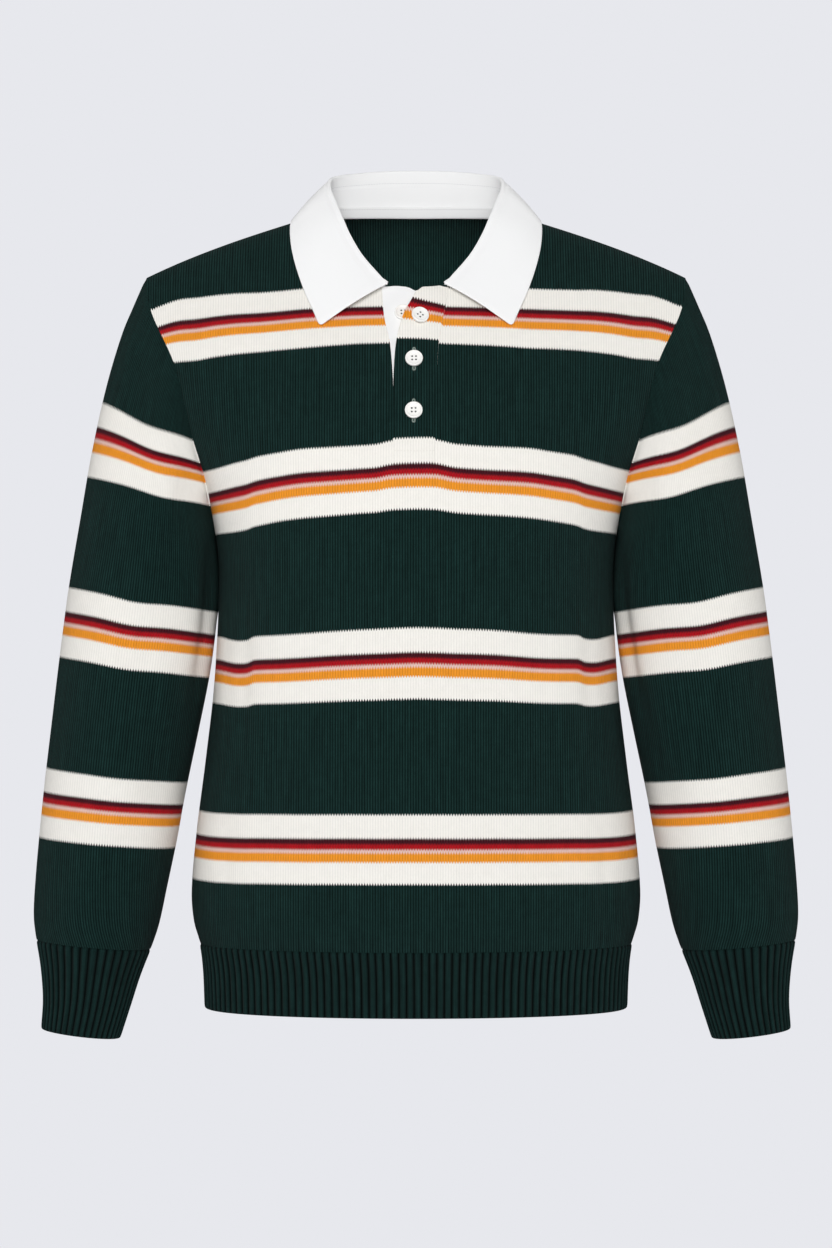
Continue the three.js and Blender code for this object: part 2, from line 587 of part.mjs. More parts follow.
const tapeStations = stations.filter(({ side }) => side === 'back');
const tapeGrid = [
  tapeStations.map(({ neck, crown, out }) => toward(neck, crown, tapeAbove)
    .addScaledVector(out, -tapeOffStand)),
  tapeStations.map(({ neck, inward }) => neck.clone().addScaledVector(inward, knit + tapeOffPanel)),
  tapeStations.map(({ below, inward }) => below.clone().addScaledVector(inward, knit + tapeOffPanel)),
];
const tape = wall('neck_tape', tapeGrid, wallInside(tapeGrid, tapeThick), white);

// ---- buttons ----
const wasm = await Module();
wasm.setup();
function solid(shape) {
  const plain = shape.clone();
  plain.deleteAttribute('normal');
  plain.deleteAttribute('uv');
  const merged = mergeVertices(plain, 1e-4);
  const corners = [...merged.index.array];
  const kept = [];
  for (let k = 0; k < corners.length; k += 3) {
    const [a, b, c] = corners.slice(k, k + 3);
    if (a !== b && b !== c && c !== a) kept.push(a, b, c);
  }
  return new wasm.Manifold(new wasm.Mesh({
    numProp: 3,
    vertProperties: new Float32Array(merged.attributes.position.array),
    triVerts: new Uint32Array(kept),
  }));
}
const outside = buttonWidth / 2;
const buttonProfile = [
  [0, 0],
  [outside - buttonEdge, 0],
  [outside, buttonEdge],
  [outside, buttonThick - buttonEdge],
  [outside - buttonEdge, buttonThick],
  [outside - buttonRim, buttonThick - buttonDish * 0.2],
  [outside - buttonRim - buttonDish, buttonThick - buttonDish],
  [0, buttonThick - buttonDish],
].map(([across, high]) => new THREE.Vector2(across, high));
let buttonBody = solid(new THREE.LatheGeometry(buttonProfile, buttonSides));
for (const [right, up] of [[-1, -1], [-1, 1], [1, -1], [1, 1]]) {
  const drill = new THREE.CylinderGeometry(buttonHole.width / 2, buttonHole.width / 2, buttonThick * 3, 8);
  drill.translate((right * buttonHole.apart) / 2, 0, (up * buttonHole.apart) / 2);
  buttonBody = buttonBody.subtract(solid(drill));
}
const buttonMesh = buttonBody.getMesh();
const buttonShape = new THREE.BufferGeometry();
buttonShape.setAttribute('position', new THREE.BufferAttribute(buttonMesh.vertProperties, 3));
buttonShape.setIndex(new THREE.BufferAttribute(buttonMesh.triVerts, 1));
buttonShape.computeVertexNormals();

const buttons = buttonSpots.map(({ name, x, z, lift, turn }) => {
  const out = bodyOut('front', x, z).applyAxisAngle(new THREE.Vector3(0, 0, 1), turn);
  const button = new THREE.Mesh(buttonShape, pearl.clone());
  button.position.copy(bodyPoint('front', x, z, lift));
  button.quaternion.setFromUnitVectors(new THREE.Vector3(0, 1, 0), out);
  button.name = name;
  return button;
});

const group = new THREE.Group();
group.add(front, back, backLower, hem);
group.add(sleeveUpper, mirrored(sleeveUpper, 'sleeve_right_upper'));
group.add(sleeveLower, mirrored(sleeveLower, 'sleeve_right_lower'));
group.add(cuff, mirrored(cuff, 'cuff_right'));
group.add(over, under, stand, leaf, tape, ...buttons);
export default group;
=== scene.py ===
import math

import bpy
import numpy as np
from mathutils import Matrix, Vector


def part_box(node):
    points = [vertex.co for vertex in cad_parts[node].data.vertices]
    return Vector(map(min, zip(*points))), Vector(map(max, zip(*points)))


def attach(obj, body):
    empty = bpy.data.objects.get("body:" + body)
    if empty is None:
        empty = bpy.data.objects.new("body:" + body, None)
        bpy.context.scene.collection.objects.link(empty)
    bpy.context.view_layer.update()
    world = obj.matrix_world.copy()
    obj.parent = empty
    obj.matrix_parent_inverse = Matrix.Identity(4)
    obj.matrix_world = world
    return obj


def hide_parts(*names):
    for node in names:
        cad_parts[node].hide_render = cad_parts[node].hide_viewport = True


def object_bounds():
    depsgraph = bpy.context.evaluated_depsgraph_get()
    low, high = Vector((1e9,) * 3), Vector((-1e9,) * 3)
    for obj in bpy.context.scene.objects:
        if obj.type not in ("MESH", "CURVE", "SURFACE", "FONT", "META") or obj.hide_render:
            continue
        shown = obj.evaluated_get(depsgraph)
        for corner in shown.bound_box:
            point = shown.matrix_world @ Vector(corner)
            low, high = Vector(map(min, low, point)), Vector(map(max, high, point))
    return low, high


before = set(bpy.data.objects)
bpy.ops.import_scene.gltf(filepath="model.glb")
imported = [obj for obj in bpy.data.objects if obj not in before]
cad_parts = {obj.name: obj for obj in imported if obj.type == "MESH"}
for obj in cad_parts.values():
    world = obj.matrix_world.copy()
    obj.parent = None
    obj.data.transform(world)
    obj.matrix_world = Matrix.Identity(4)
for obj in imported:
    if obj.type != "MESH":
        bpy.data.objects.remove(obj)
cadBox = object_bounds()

# Lengths are in millimetres until a mesh is made. The wearer faces -Y, the wearer's left is +X.
metre = 0.001
scene = bpy.context.scene


def nodeBox(name):
    return [np.array(corner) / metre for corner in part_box(name)]


def addObject(name, data):
    thing = bpy.data.objects.new(name, data)
    scene.collection.objects.link(thing)
    return thing


frontBox, hemBox = nodeBox("front_panel"), nodeBox("hem_rib")

print("camera and light")
camera = {"away": 3000, "height": -371, "lens": 96.15, "sensor": 36, "reach": 100}


def makeCamera():
    data = bpy.data.cameras.new("camera")
    data.lens, data.sensor_width = camera["lens"], camera["sensor"]
    data.clip_end = camera["reach"]
    eye = addObject("camera", data)
    eye.location = Vector((0, -camera["away"], camera["height"])) * metre
    eye.rotation_euler = (math.pi / 2, 0, 0)
    scene.camera = eye


makeCamera()


# Wire takes part in sums, and Graph adds any other node.
class Wire:
    def __init__(self, graph, socket):
        self.graph, self.socket = graph, socket

    def math(self, operation, *values):
        return self.graph.add("ShaderNodeMath", dict(enumerate(values)), operation=operation)

    def __add__(self, other): return self.math("ADD", self, other)
    def __sub__(self, other): return self.math("SUBTRACT", self, other)
    def __rsub__(self, other): return self.math("SUBTRACT", other, self)
    def __mul__(self, other): return self.math("MULTIPLY", self, other)
    def __rmul__(self, other): return self.math("MULTIPLY", other, self)
    def __truediv__(self, other): return self.math("DIVIDE", self, other)
    def __pow__(self, other): return self.math("POWER", self, other)
    def __mod__(self, other): return self.math("FLOORED_MODULO", self, other)
    def __gt__(self, other): return self.math("GREATER_THAN", self, other)
    def __abs__(self): return self.math("ABSOLUTE", self)
    def floor(self): return self.math("FLOOR", self)
    def sine(self): return self.math("SINE", self)
    def most(self, other): return self.math("MAXIMUM", self, other)


class Graph:
    def __init__(self, tree):
        self.tree = tree

    def add(self, kind, values=None, output=0, **settings):
        node = self.tree.nodes.new(kind)
        for name, value in settings.items():
            if name == "stops":
                self.setStops(node.color_ramp, value)
            else:
                setattr(node, name, value)
        for name, value in (values or {}).items():
            if isinstance(value, Wire):
                self.tree.links.new(value.socket, node.inputs[name])
            else:
                node.inputs[name].default_value = value
        return Wire(self, node.outputs[output]) if node.outputs else None

    def setStops(self, ramp, stops):
        ramp.interpolation = "CONSTANT"
        for k, (place, colour) in enumerate(stops):
            stop = ramp.elements[k] if k < len(ramp.elements) else ramp.elements.new(place)
            stop.position, stop.color = place, colour

    def parts(self, vector):
        split = self.add("ShaderNodeSeparateXYZ", {0: vector})
        return [Wire(self, socket) for socket in split.socket.node.outputs]

    def vector(self, *parts):
        return self.add("ShaderNodeCombineXYZ", dict(enumerate(parts)))

    def objectPlace(self):
        return self.add("ShaderNodeTexCoord", output=3)

    def held(self, name, kind="FLOAT"):  # a named attribute
        return self.add("GeometryNodeInputNamedAttribute", {0: name}, data_type=kind)

    def mix(self, factor, a, b, blend="MIX"):
        values = {0: factor, 6: a, 7: b}
        return self.add("ShaderNodeMix", values, 2, data_type="RGBA", blend_type=blend)

    def noise(self, vector, scale, detail):
        return self.add("ShaderNodeTexNoise", {"Vector": vector, "Scale": scale, "Detail": detail})

    def bump(self, height, distance, strength):
        values = {"Height": height, "Distance": distance, "Strength": strength}
        return self.add("ShaderNodeBump", values)


def linear(*colour):  # from the usual 0 to 255 numbers
    share = [c / 255 for c in colour]
    return [c / 12.92 if c < 0.04045 else ((c + 0.055) / 1.055) ** 2.4 for c in share] + [1.0]


def emptyGraph(holder):
    holder.use_nodes = True
    holder.node_tree.nodes.clear()
    return Graph(holder.node_tree)


def makeFinish(name, build):  # build gives the values of the principled shader's sockets
    material = bpy.data.materials.new(name)
    graph = emptyGraph(material)
    surface = graph.add("ShaderNodeBsdfPrincipled", build(graph))
    graph.add("ShaderNodeOutputMaterial", {"Surface": surface})
    return material


studio = {
    "behind": (231, 232, 237), "air": (122, 122, 124),
    "floor": (228, 230, 234), "floorDown": 750, "floorWide": 2600, "floorSolid": 0.42, "floorSides": 96,
    # x, y, z, width, height and watts of each softbox, all aimed at the middle of the garment
    "softboxes": (
        (-350, -3200, 700, 1500, 1500, 62),
        (350, -3200, 100, 1500, 1500, 28),
        (0, 1400, 2200, 2400, 1600, 16),
        (2700, -300, 200, 1600, 1600, 15),
        (-2700, -300, 200, 1600, 1600, 15),
        (0, 3200, 300, 1800, 1800, 60),
    ),
}


def floorFinish():  # it clears towards its edge
    material = bpy.data.materials.new("paleFloor")
    graph = emptyGraph(material)
    away = graph.add("ShaderNodeVectorMath", {0: graph.objectPlace()}, 1, operation="LENGTH")
    edge = studio["floorWide"] * metre
    spread = {0: away, 1: studio["floorSolid"] * edge, 2: edge}
    fade = graph.add("ShaderNodeMapRange", spread, interpolation_type="SMOOTHSTEP")
    paper = graph.add("ShaderNodeBsdfDiffuse", {"Color": linear(*studio["floor"])})
    clear = graph.add("ShaderNodeBsdfTransparent")
    surface = graph.add("ShaderNodeMixShader", {0: fade, 1: paper, 2: clear})
    graph.add("ShaderNodeOutputMaterial", {"Surface": surface})
    return material


def makeFloor():
    bpy.ops.mesh.primitive_circle_add(
        vertices=studio["floorSides"], radius=studio["floorWide"] * metre, fill_type="NGON")
    floor = bpy.context.object
    floor.name = "floor"
    floor.location.z = cadBox[0][2] - studio["floorDown"] * metre
    floor.data.materials.append(floorFinish())


def makeStudio():
    scene.world = bpy.data.worlds.new("studio")
    graph = emptyGraph(scene.world)
    air = graph.add("ShaderNodeBackground", {"Color": linear(*studio["air"])})
    behind = graph.add("ShaderNodeBackground", {"Color": linear(*studio["behind"])})
    seen = graph.add("ShaderNodeLightPath")
    both = graph.add("ShaderNodeMixShader", {0: seen, 1: air, 2: behind})
    graph.add("ShaderNodeOutputWorld", {0: both})
    middle = (Vector(cadBox[0]) + Vector(cadBox[1])) / 2
    for k, (x, y, z, width, height, watts) in enumerate(studio["softboxes"]):
        data = bpy.data.lights.new(f"softbox{k}", "AREA")
        data.shape, data.energy = "RECTANGLE", watts
        data.size, data.size_y = width * metre, height * metre
        lamp = addObject(data.name, data)
        lamp.location = Vector((x, y, z)) * metre
        lamp.rotation_euler = (middle - lamp.location).to_track_quat("-Z", "Y").to_euler()
    makeFloor()
    scene.view_settings.view_transform = "Standard"


makeStudio()

# Cloth is mapped in metres on the UV map "cloth": u across the wales, v up the stripes.
stitch = {
    "wale": 2.35, "course": 1.62, "slant": 1.6, "groove": 1.6, "yarn": 0.4, "round": 0.7,
    "split": 0.2, "splitDeep": 0.3,
}
# Noise in the wool, in turns for each millimetre, and how much it shows. inside is painted light: the
# inner faces are painted that many times lighter, for light reaching the inside.
wool = {
    "fleck": 0.55, "fleckShows": 0.6, "fleckHigh": 0.35, "cloud": 0.12, "cloudShows": 0.5,
    "streak": (0.42, 0.02), "inside": 1.65, "reliefLeast": 0.3, "reliefMore": 1.4,
}
# Each yarn's colour, and how much its stitches stand out from the shade between them.
yarns = {
    "rib": (22, 45, 43, 1.0), "green": (26, 53, 50, 0.95), "ivory": (242, 239, 232, 0.15),
    "maroon": (78, 28, 37, 0.7), "red": (186, 27, 35, 0.55), "pink": (232, 198, 188, 0.3),
    "orange": (244, 155, 47, 0.36),
}
# A band of stripes from its top edge down, in courses, and the repeat from band to band.
bandCourses = (
    ("ivory", 0), ("maroon", 13), ("red", 16), ("pink", 19), ("orange", 21), ("ivory", 26), ("green", 38),
)
band = {"repeat": 162.0, "tall": 61.6, "past": 1.1, "topmost": 486.5, "lowStretch": 1.02}


def yarnStop(name):  # the colour, with the contrast in place of its alpha
    return linear(*yarns[name][:3])[:3] + [yarns[name][3]]


def clothMap(graph):  # in millimetres
    u, v, _ = graph.parts(graph.add("ShaderNodeUVMap", uv_map="cloth"))
    return u / metre, v / metre


def knitStitch(u, v, wale):  # the stitch's number up the wale, and its height
    across = abs((u / wale) % 1.0 * 2.0 - 1.0)
    along = v / stitch["course"] - across * stitch["slant"]
    yarn = (along % 1.0 * math.pi).sine() ** stitch["round"]
    leg = 1.0 - across ** stitch["groove"]
    inSplit = (stitch["split"] - across).most(0.0) / stitch["split"]
    split = 1.0 - inSplit ** 2.0 * stitch["splitDeep"]
    return along.floor(), (yarn * stitch["yarn"] + 1.0 - stitch["yarn"]) * leg * split


# Colour varies with the yarn, and painted shade darkens it between stitches.
def woolly(graph, u, v, colour, contrast, height, bright):
    place = graph.vector(u, v)
    fleck = graph.noise(place, wool["fleck"], 3.0)
    cloud = graph.noise(place, wool["cloud"], 2.0)
    streak = graph.noise(graph.vector(u * wool["streak"][0], v * wool["streak"][1]), 1.0, 1.0)
    # shade is painted shade between stitches, with random streaks, and a painted-light scale that is
    # above 1 only for the inner faces
    shade = (1.0 - contrast * (1.0 - height)) * (contrast * contrast * (streak - 0.5) + bright)
    for noise, shows in ((fleck, wool["fleckShows"]), (cloud, wool["cloudShows"])):
        shade = shade * (contrast * (noise - 0.5) * shows + 1.0)
    grey = graph.add("ShaderNodeCombineColor", {0: shade, 1: shade, 2: shade})
    return graph.mix(1.0, colour, grey, "MULTIPLY"), fleck


def stripeColour(graph, number):  # and its contrast, by the stitch's number up the wale
    place = (number + 0.5 + stitch["slant"] / 2) * stitch["course"]
    down = (0.0 - place) % band["repeat"]
    down = down.most((place > band["topmost"]) * band["tall"] * band["past"])  # none above the topmost
    total = band["repeat"] / stitch["course"]
    stops = [(at / total, yarnStop(name)) for name, at in bandCourses]
    colour = graph.add("ShaderNodeValToRGB", {0: down / band["repeat"]}, stops=stops)
    return colour, Wire(graph, colour.socket.node.outputs["Alpha"])


def knitShader(striped, wale=stitch["wale"], bright=1.0):
    def build(graph):
        u, v = clothMap(graph)
        number, height = knitStitch(u, v, wale)
        colour, contrast = yarnStop("rib"), yarns["rib"][3]
        if striped:
            colour, contrast = stripeColour(graph, number)
        colour, fleck = woolly(graph, u, v, colour, contrast, height, bright)
        relief = height + fleck * wool["fleckHigh"]
        relief = relief * (contrast * wool["reliefMore"] + wool["reliefLeast"])
        return {
            "Base Color": colour, "Roughness": 0.95, "Specular IOR Level": 0.03,
            "Sheen Weight": 0.02, "Sheen Roughness": 0.6,
            "Normal": graph.bump(relief, 0.5 * metre, 0.7),
        }
    return build


cotton = {
    "thread": 0.42, "white": (245, 245, 244), "shade": (236, 237, 239), "slub": 0.9, "crumple": 0.02,
    "weaveHigh": 0.35, "slubHigh": 0.8, "crumpleHigh": 3.0,
}


def cottonShader(graph):
    u, v = clothMap(graph)
    turn = 2 * math.pi / cotton["thread"]
    weave = ((u + v) * turn).sine() * 0.5 + ((u - v) * turn).sine() * 0.5
    place = graph.vector(u, v)
    slub = graph.noise(place, cotton["slub"], 4.0)
    crumple = graph.noise(place, cotton["crumple"], 2.0)
    height = weave * cotton["weaveHigh"] + slub * cotton["slubHigh"] + crumple * cotton["crumpleHigh"]
    return {
        "Base Color": graph.mix(slub * 0.5, linear(*cotton["white"]), linear(*cotton["shade"])),
        "Roughness": 0.85, "Specular IOR Level": 0.2, "Sheen Weight": 0.1,
        "Normal": graph.bump(height, 0.12 * metre, 0.5),
    }


def resinShader(graph):
    cloud = graph.noise(graph.objectPlace(), 260.0, 3.0)
    return {
        "Base Color": graph.mix(cloud, linear(250, 249, 246), linear(238, 237, 232)),
        "Roughness": cloud * 0.1 + 0.22, "Coat Weight": 0.25, "Coat Roughness": 0.12,
        "Normal": graph.bump(cloud, 0.05 * metre, 0.3),
    }


def threadShader(tint):
    def build(graph):
        twist = graph.noise(graph.objectPlace(), 2600.0, 2.0)
        return {
            "Base Color": graph.mix(twist, tint, [c * 0.8 for c in tint[:3]] + [1.0]),
            "Roughness": 0.7, "Sheen Weight": 0.15,
            "Normal": graph.bump(twist, 0.05 * metre, 0.5),
        }
    return build


threadColours = {
    "whiteThread": (222, 222, 224), "ivoryThread": (226, 222, 212), "holeThread": (132, 146, 138),
    # the darkest colour, for the plugs in the button holes, is thread with painted shade in the holes
    "darkThread": (20, 26, 25),
}
rib = {
    "hem": 144, "cuff": 40, "pitch": 6.6, "depth": 1.7, "sunk": 0.7, "lip": 0.9,
    "hemColumns": 10, "cuffColumns": 9, "hemRows": 26, "hemStart": (0.7, 1.5), "loopParts": 2880,
    "cuffRings": 3, "cuffParts": 10, "cuffStart": (0.03, 0.06), "seamDip": 1, "seamWide": 1.6,
    "topFade": 3.5, "topShare": 0.35, "footFade": 2.5, "footShare": 0.55,
}

print("finishes")
stripedKnit = makeFinish("stripedKnit", knitShader(True))
# a copy with painted light: the inner faces are painted lighter, for light reaching the inside
knitInside = makeFinish("knitInside", knitShader(True, bright=wool["inside"]))
# each rib is shaded as one wide stitch, so painted shade darkens its grooves
greenRib = makeFinish("greenRib", knitShader(False, rib["pitch"]))
whiteCotton = makeFinish("whiteCotton", cottonShader)
resin = makeFinish("resin", resinShader)
threads = {name: makeFinish(name, threadShader(linear(*tint))) for name, tint in threadColours.items()}


# Tables are read as smooth curves of one of their columns.
def table(names, *rows):
    return [dict(zip(names.split(), row)) for row in rows]


def mirrored(rows):  # with a row at -x for each at x
    return rows + [{**row, "x": -row["x"]} for row in rows if row["x"]]


def curve(a, b, slopeA, slopeB, t, span=1):
    u = 1 - t
    ends = a * u * u * (1 + 2 * t) + b * t * t * (3 - 2 * t)
    return ends + span * t * u * (slopeA * u - slopeB * t)


def column(rows, key, name):
    at, value = np.array(sorted((row[key], row[name]) for row in rows), float).T
    before = np.maximum(np.arange(len(at)) - 1, 0)
    after = np.minimum(np.arange(len(at)) + 1, len(at) - 1)
    slope = (value[after] - value[before]) / (at[after] - at[before])

    def read(where):
        i = np.searchsorted(at[1:-1], where, side="left")
        span = at[i + 1] - at[i]
        t = np.clip((where - at[i]) / span, 0, 1)
        return curve(value[i], value[i + 1], slope[i], slope[i + 1], t, span)
    return read


def mix(a, b, t):
    return a + (b - a) * t


def smooth(t):
    t = np.clip(t, 0, 1)
    return t * t * (3 - 2 * t)


def unit(v):
    return v / np.maximum(np.linalg.norm(v, axis=-1, keepdims=True), 1e-12)


def walked(points, axis=0):  # the running length along a line, or along a grid's columns or rows
    steps = np.linalg.norm(np.diff(points, axis=axis), axis=-1)
    return np.insert(np.cumsum(steps, axis=axis), 0, 0, axis=axis)


body = {
    "knit": 2.2, "woven": 1.4, "seamGap": 0.3,
    "neckHalf": 82, "frontNeckDrop": 76, "backNeckRise": 5, "neckRound": 0.9,
    "ridgeY": 6, "ridgeSlope": 0.31, "napeRound": 25, "shoulderSpan": 157, "ridgeDroop": 9,
    "shoulderX": 243, "shoulderZ": -59.7, "underarmZ": -285, "hemTopZ": frontBox[0][2],
    "cap": {"front": 130, "back": 110}, "sectionRound": 0.4, "sectionParts": 40,
    "slotEndZ": -234, "slotCornerZ": -70,
    "seamDip": 0.8, "dipWide": 3.2, "armDip": 0.1, "sideDip": 0.25, "hemDip": 0.35, "hemDipWide": 2,
    "neckLip": 0.7, "lipFrom": 3,
}
torso = table(
    "z half full front back",
    (60, 262, 290, 30, 114),
    (10, 252, 284, 34, 114),
    (-30, 249, 280, 41, 112),
    (-60, 243, 272, 50, 111),
    (-91, 237, 262, 61, 110),
    (-142, 214, 238, 86, 113),
    (-201, 199.5, 214, 109, 114),
    (-245, 187, 192, 118, 112),
    (-285, 181, 181, 121, 109),
    (-330, 177, 177, 119, 105),
    (-421, 181, 181, 113, 98),
    (-493, 189, 189, 110, 97),
    (-556, 197, 197, 110, 100),
    (-610, 201.5, 201.5, 111, 103),
    (-637, 199.5, 199.5, 109, 102),
    (-657, 194, 194, 104, 98),
    (-680, 191, 191, 100, 95),
    (-714, 189.5, 189.5, 99, 94),
)
# Soft folds: x, z is the upper end and endX, endZ the lower. wide is across, deep is in.
bodyFolds = {
    "front": table(
        "x z endX endZ wide deep",
        (-172, -215, -157, -480, 17, 5.2),
        (-150, -300, -169, -640, 15, 3.2),
        (-121, -430, -137, -650, 18, 2.6),
        (-58, -505, -70, -655, 16, 1.6),
        (-186, -330, -181, -560, 9, 2.4),
        (-128, -130, -158, -262, 20, 2.2),
        (-30, -560, -22, -655, 14, 0.9),
        (173, -220, 159, -465, 16, 4.8),
        (151, -310, 166, -632, 14, 2.8),
        (118, -415, 133, -652, 19, 2.4),
        (64, -520, 75, -655, 17, 1.4),
        (188, -360, 183, -600, 9, 2.2),
        (132, -138, 161, -275, 21, 2.4),
        (21, -590, 28, -656, 12, 0.8),
        (-148, -340, -152, -475, 5, 2.8),
        (-168, -360, -166, -455, 3.6, 2),
        (-166, -535, -167, -660, 4.5, 2.6),
        (149, -348, 153, -485, 5, 2.4),
        (169, -364, 166, -448, 3.6, 1.8),
        (165, -540, 167, -660, 4.5, 2.2),
    ),
    "back": table(
        "x z endX endZ wide deep",
        (-170, -200, -150, -500, 18, 5),
        (-146, -330, -164, -645, 15, 3),
        (-112, -440, -126, -652, 19, 2.8),
        (-40, -470, -52, -655, 22, 1.6),
        (-110, -120, -150, -250, 24, 2.6),
        (-28, -60, -36, -230, 26, 1.4),
        (174, -225, 160, -455, 17, 5.2),
        (154, -300, 171, -640, 14, 3.1),
        (122, -400, 139, -650, 18, 2.4),
        (58, -500, 70, -655, 20, 1.8),
        (116, -128, 156, -262, 23, 2.4),
        (34, -70, 30, -250, 27, 1.2),
        (-147, -346, -151, -480, 5, 1.6),
        (-164, -560, -166, -660, 4.5, 1.4),
        (150, -352, 154, -470, 5, 1.5),
        (167, -556, 165, -660, 4.5, 1.5),
    ),
}
bodyHalf = column(torso, "z", "half")
bodyFull = column(torso, "z", "full")
bodyDepth = {side: column(torso, "z", side) for side in ("front", "back")}


def ridgeZ(x):
    out = np.hypot(x, body["napeRound"]) - math.hypot(body["neckHalf"], body["napeRound"])
    return -out * body["ridgeSlope"] - body["ridgeDroop"] * np.maximum(0, out / body["shoulderSpan"]) ** 3


def foldIn(side, x, z):
    depth = 0
    for fold in bodyFolds[side]:
        along = np.clip((z - fold["z"]) / (fold["endZ"] - fold["z"]), 0, 1)
        off = (x - mix(fold["x"], fold["endX"], along)) / fold["wide"]
        depth = depth + fold["deep"] * np.sin(np.pi * along) * np.exp(-off * off)
    return depth


def bodyPoint(side, x, z, lift=0):
    sign = -1 if side == "front" else 1
    x, z, lift = np.broadcast_arrays(x, z, lift)
    across = np.minimum(np.abs(x) / bodyFull(z), 1)
    depth = bodyDepth[side](z) - foldIn(side, x, z)
    full = sign * depth * (1 - across * across) ** body["sectionRound"]
    below = np.maximum(ridgeZ(x) - z, 0) / body["cap"][side]
    cap = np.sqrt(1 - np.maximum(1 - below, 0) ** 2)
    up = np.clip((z - body["underarmZ"]) / (body["shoulderZ"] - body["underarmZ"]), 0, 1)
    start = body["ridgeY"] * up
    return np.stack([x + 0.0, start + (full - start) * cap + sign * lift, z + 0.0], -1)


def bodyOut(side, x, z):
    here = bodyPoint(side, x, z)
    down = bodyPoint(side, x, z - 0.5) - here
    right = (bodyPoint(side, x + 0.5, z) - here) * (1 if side == "front" else -1)
    return unit(np.cross(down, right))


def neckZ(side, x):
    share = np.minimum(np.abs(x) / body["neckHalf"], 1)
    if side == "back":
        return body["backNeckRise"] * (1 - share * share)
    r = body["neckRound"]
    return -body["frontNeckDrop"] * (1 - share ** (2 / r)) ** (r / 2)


def topZ(side, x):
    return np.where(np.abs(x) < body["neckHalf"], neckZ(side, x), ridgeZ(x))


# Heights of the band tops from side to side. chestLow and edge are the lower edges of the two
# uppermost bands.
bandLines = {
    "front": table(
        "x low waist chestLow chest edge top",
        (-235, -537.4, -381.9, -294.5, -240.2, -140.3, -89.5),
        (-212, -537.4, -381.9, -293.3, -238.2, -138.3, -81.5),
        (-194, -537.4, -381.9, -292.1, -236.4, -137.6, -79.9),
        (-177, -537.9, -381.9, -290.7, -234.1, -134.9, -78.1),
        (-159, -537.9, -385.6, -289.5, -229.8, -132.9, -77),
        (-148, -537.7, -385, -287.8, -227.5, -132.1, -76.8),
        (-143, -537.5, -382.2, -285.8, -225.9, -131.7, -76.8),
        (-137, -537.4, -381.5, -284.5, -224.3, -131.4, -76.6),
        (-118, -537.1, -380.6, -281, -221.3, -129.8, -75.3),
        (-100, -536.9, -379.4, -278.8, -218.7, -128.3, -73.7),
        (-75, -536.6, -377.5, -276.9, -217.4, -126.3, -73.5),
        (-50, -536.4, -376, -274.9, -216.1, -124.7, -73.3),
        (-34, -536.4, -375.3, -273.9, -214.9, -124.4, -73.1),
        (-22, -536.3, -374.7, -272.1, -212.1, -124.1, -72.9),
        (0, -536.2, -373.9, -271.3, -211, -123.9, -72.4),
        (17, -536.3, -374.3, -271.6, -211, -124.4, -72.7),
        (22, -536.3, -374.5, -272.3, -212, -124.6, -72.9),
        (34, -536.4, -375.1, -274.3, -214.7, -125.1, -73.1),
        (56, -536.5, -375.8, -275.8, -216.4, -125.9, -73.3),
        (73, -536.6, -376.7, -276.6, -217.1, -126.6, -73.5),
        (100, -536.9, -379.2, -278.5, -218.1, -128.5, -73.6),
        (117, -537.1, -380.2, -280.6, -220.6, -128.8, -74),
        (137, -537.4, -380.6, -283.6, -223.3, -129.5, -74.1),
        (143, -537.5, -381, -285.1, -225, -129.8, -74.2),
        (148, -537.7, -383.8, -287.1, -226.6, -130.2, -74),
        (159, -537.9, -384.5, -288.8, -229.1, -131.1, -73.7),
        (177, -537.9, -380.7, -290, -233.4, -133.1, -74.8),
        (194, -537.4, -380.7, -291.4, -235.7, -135.8, -76.6),
        (212, -537.4, -380.7, -292.6, -237.5, -136.5, -78.2),
        (235, -537.4, -380.7, -293.8, -239.5, -138.5, -86.2),
    ),
    "back": mirrored(table(
        "x low waist chestLow chest edge top",
        (0, -535, -373, -274.5, -214, -128, -75),
        (66, -535.5, -374, -276.1, -216, -129, -75.5),
        (100, -536, -376, -278.7, -219, -131, -76),
        (137, -537, -379, -283.6, -225, -133, -77),
        (159, -538, -381, -287.1, -229.5, -134.5, -78),
        (177, -538, -381, -289.5, -233.4, -136, -79),
        (194, -537.5, -381, -291.1, -236, -138.3, -80),
        (212, -537.5, -381, -292.4, -238, -139, -82),
        (235, -537.5, -381, -293.6, -240, -141, -88.5),
    )),
}
bandNames = ("low", "waist", "chestLow", "chest", "edge", "top")
tallShare = band["tall"] / band["repeat"]
bandPlaces = [place * band["repeat"] for place in (0, 1, 2 - tallShare, 2, 3 - tallShare, 3)]


def stripePlace(side, x, z):  # how far up the cloth, from the lowest band's top edge
    lines = [column(bandLines[side], "x", name)(x) for name in bandNames]
    place = (z - lines[0]) * band["lowStretch"]
    for k in range(len(lines) - 1):
        share = (z - lines[k]) / (lines[k + 1] - lines[k])
        place = np.where(z > lines[k], mix(bandPlaces[k], bandPlaces[k + 1], share), place)
    return place


def acrossPlace(side, x, z):  # how far round the level section from the middle
    z = np.minimum(z, body["shoulderZ"])
    shares = np.linspace(0, 1, body["sectionParts"] + 1)[:, None, None]
    turn = np.arcsin(np.clip(np.abs(x) / bodyFull(z), 0, 1)) * shares
    xs = bodyFull(z) * np.sin(turn)
    ys = bodyDepth[side](z) * np.cos(turn) ** (2 * body["sectionRound"])
    return np.sign(x) * np.hypot(np.diff(xs, axis=0), np.diff(ys, axis=0)).sum(0)


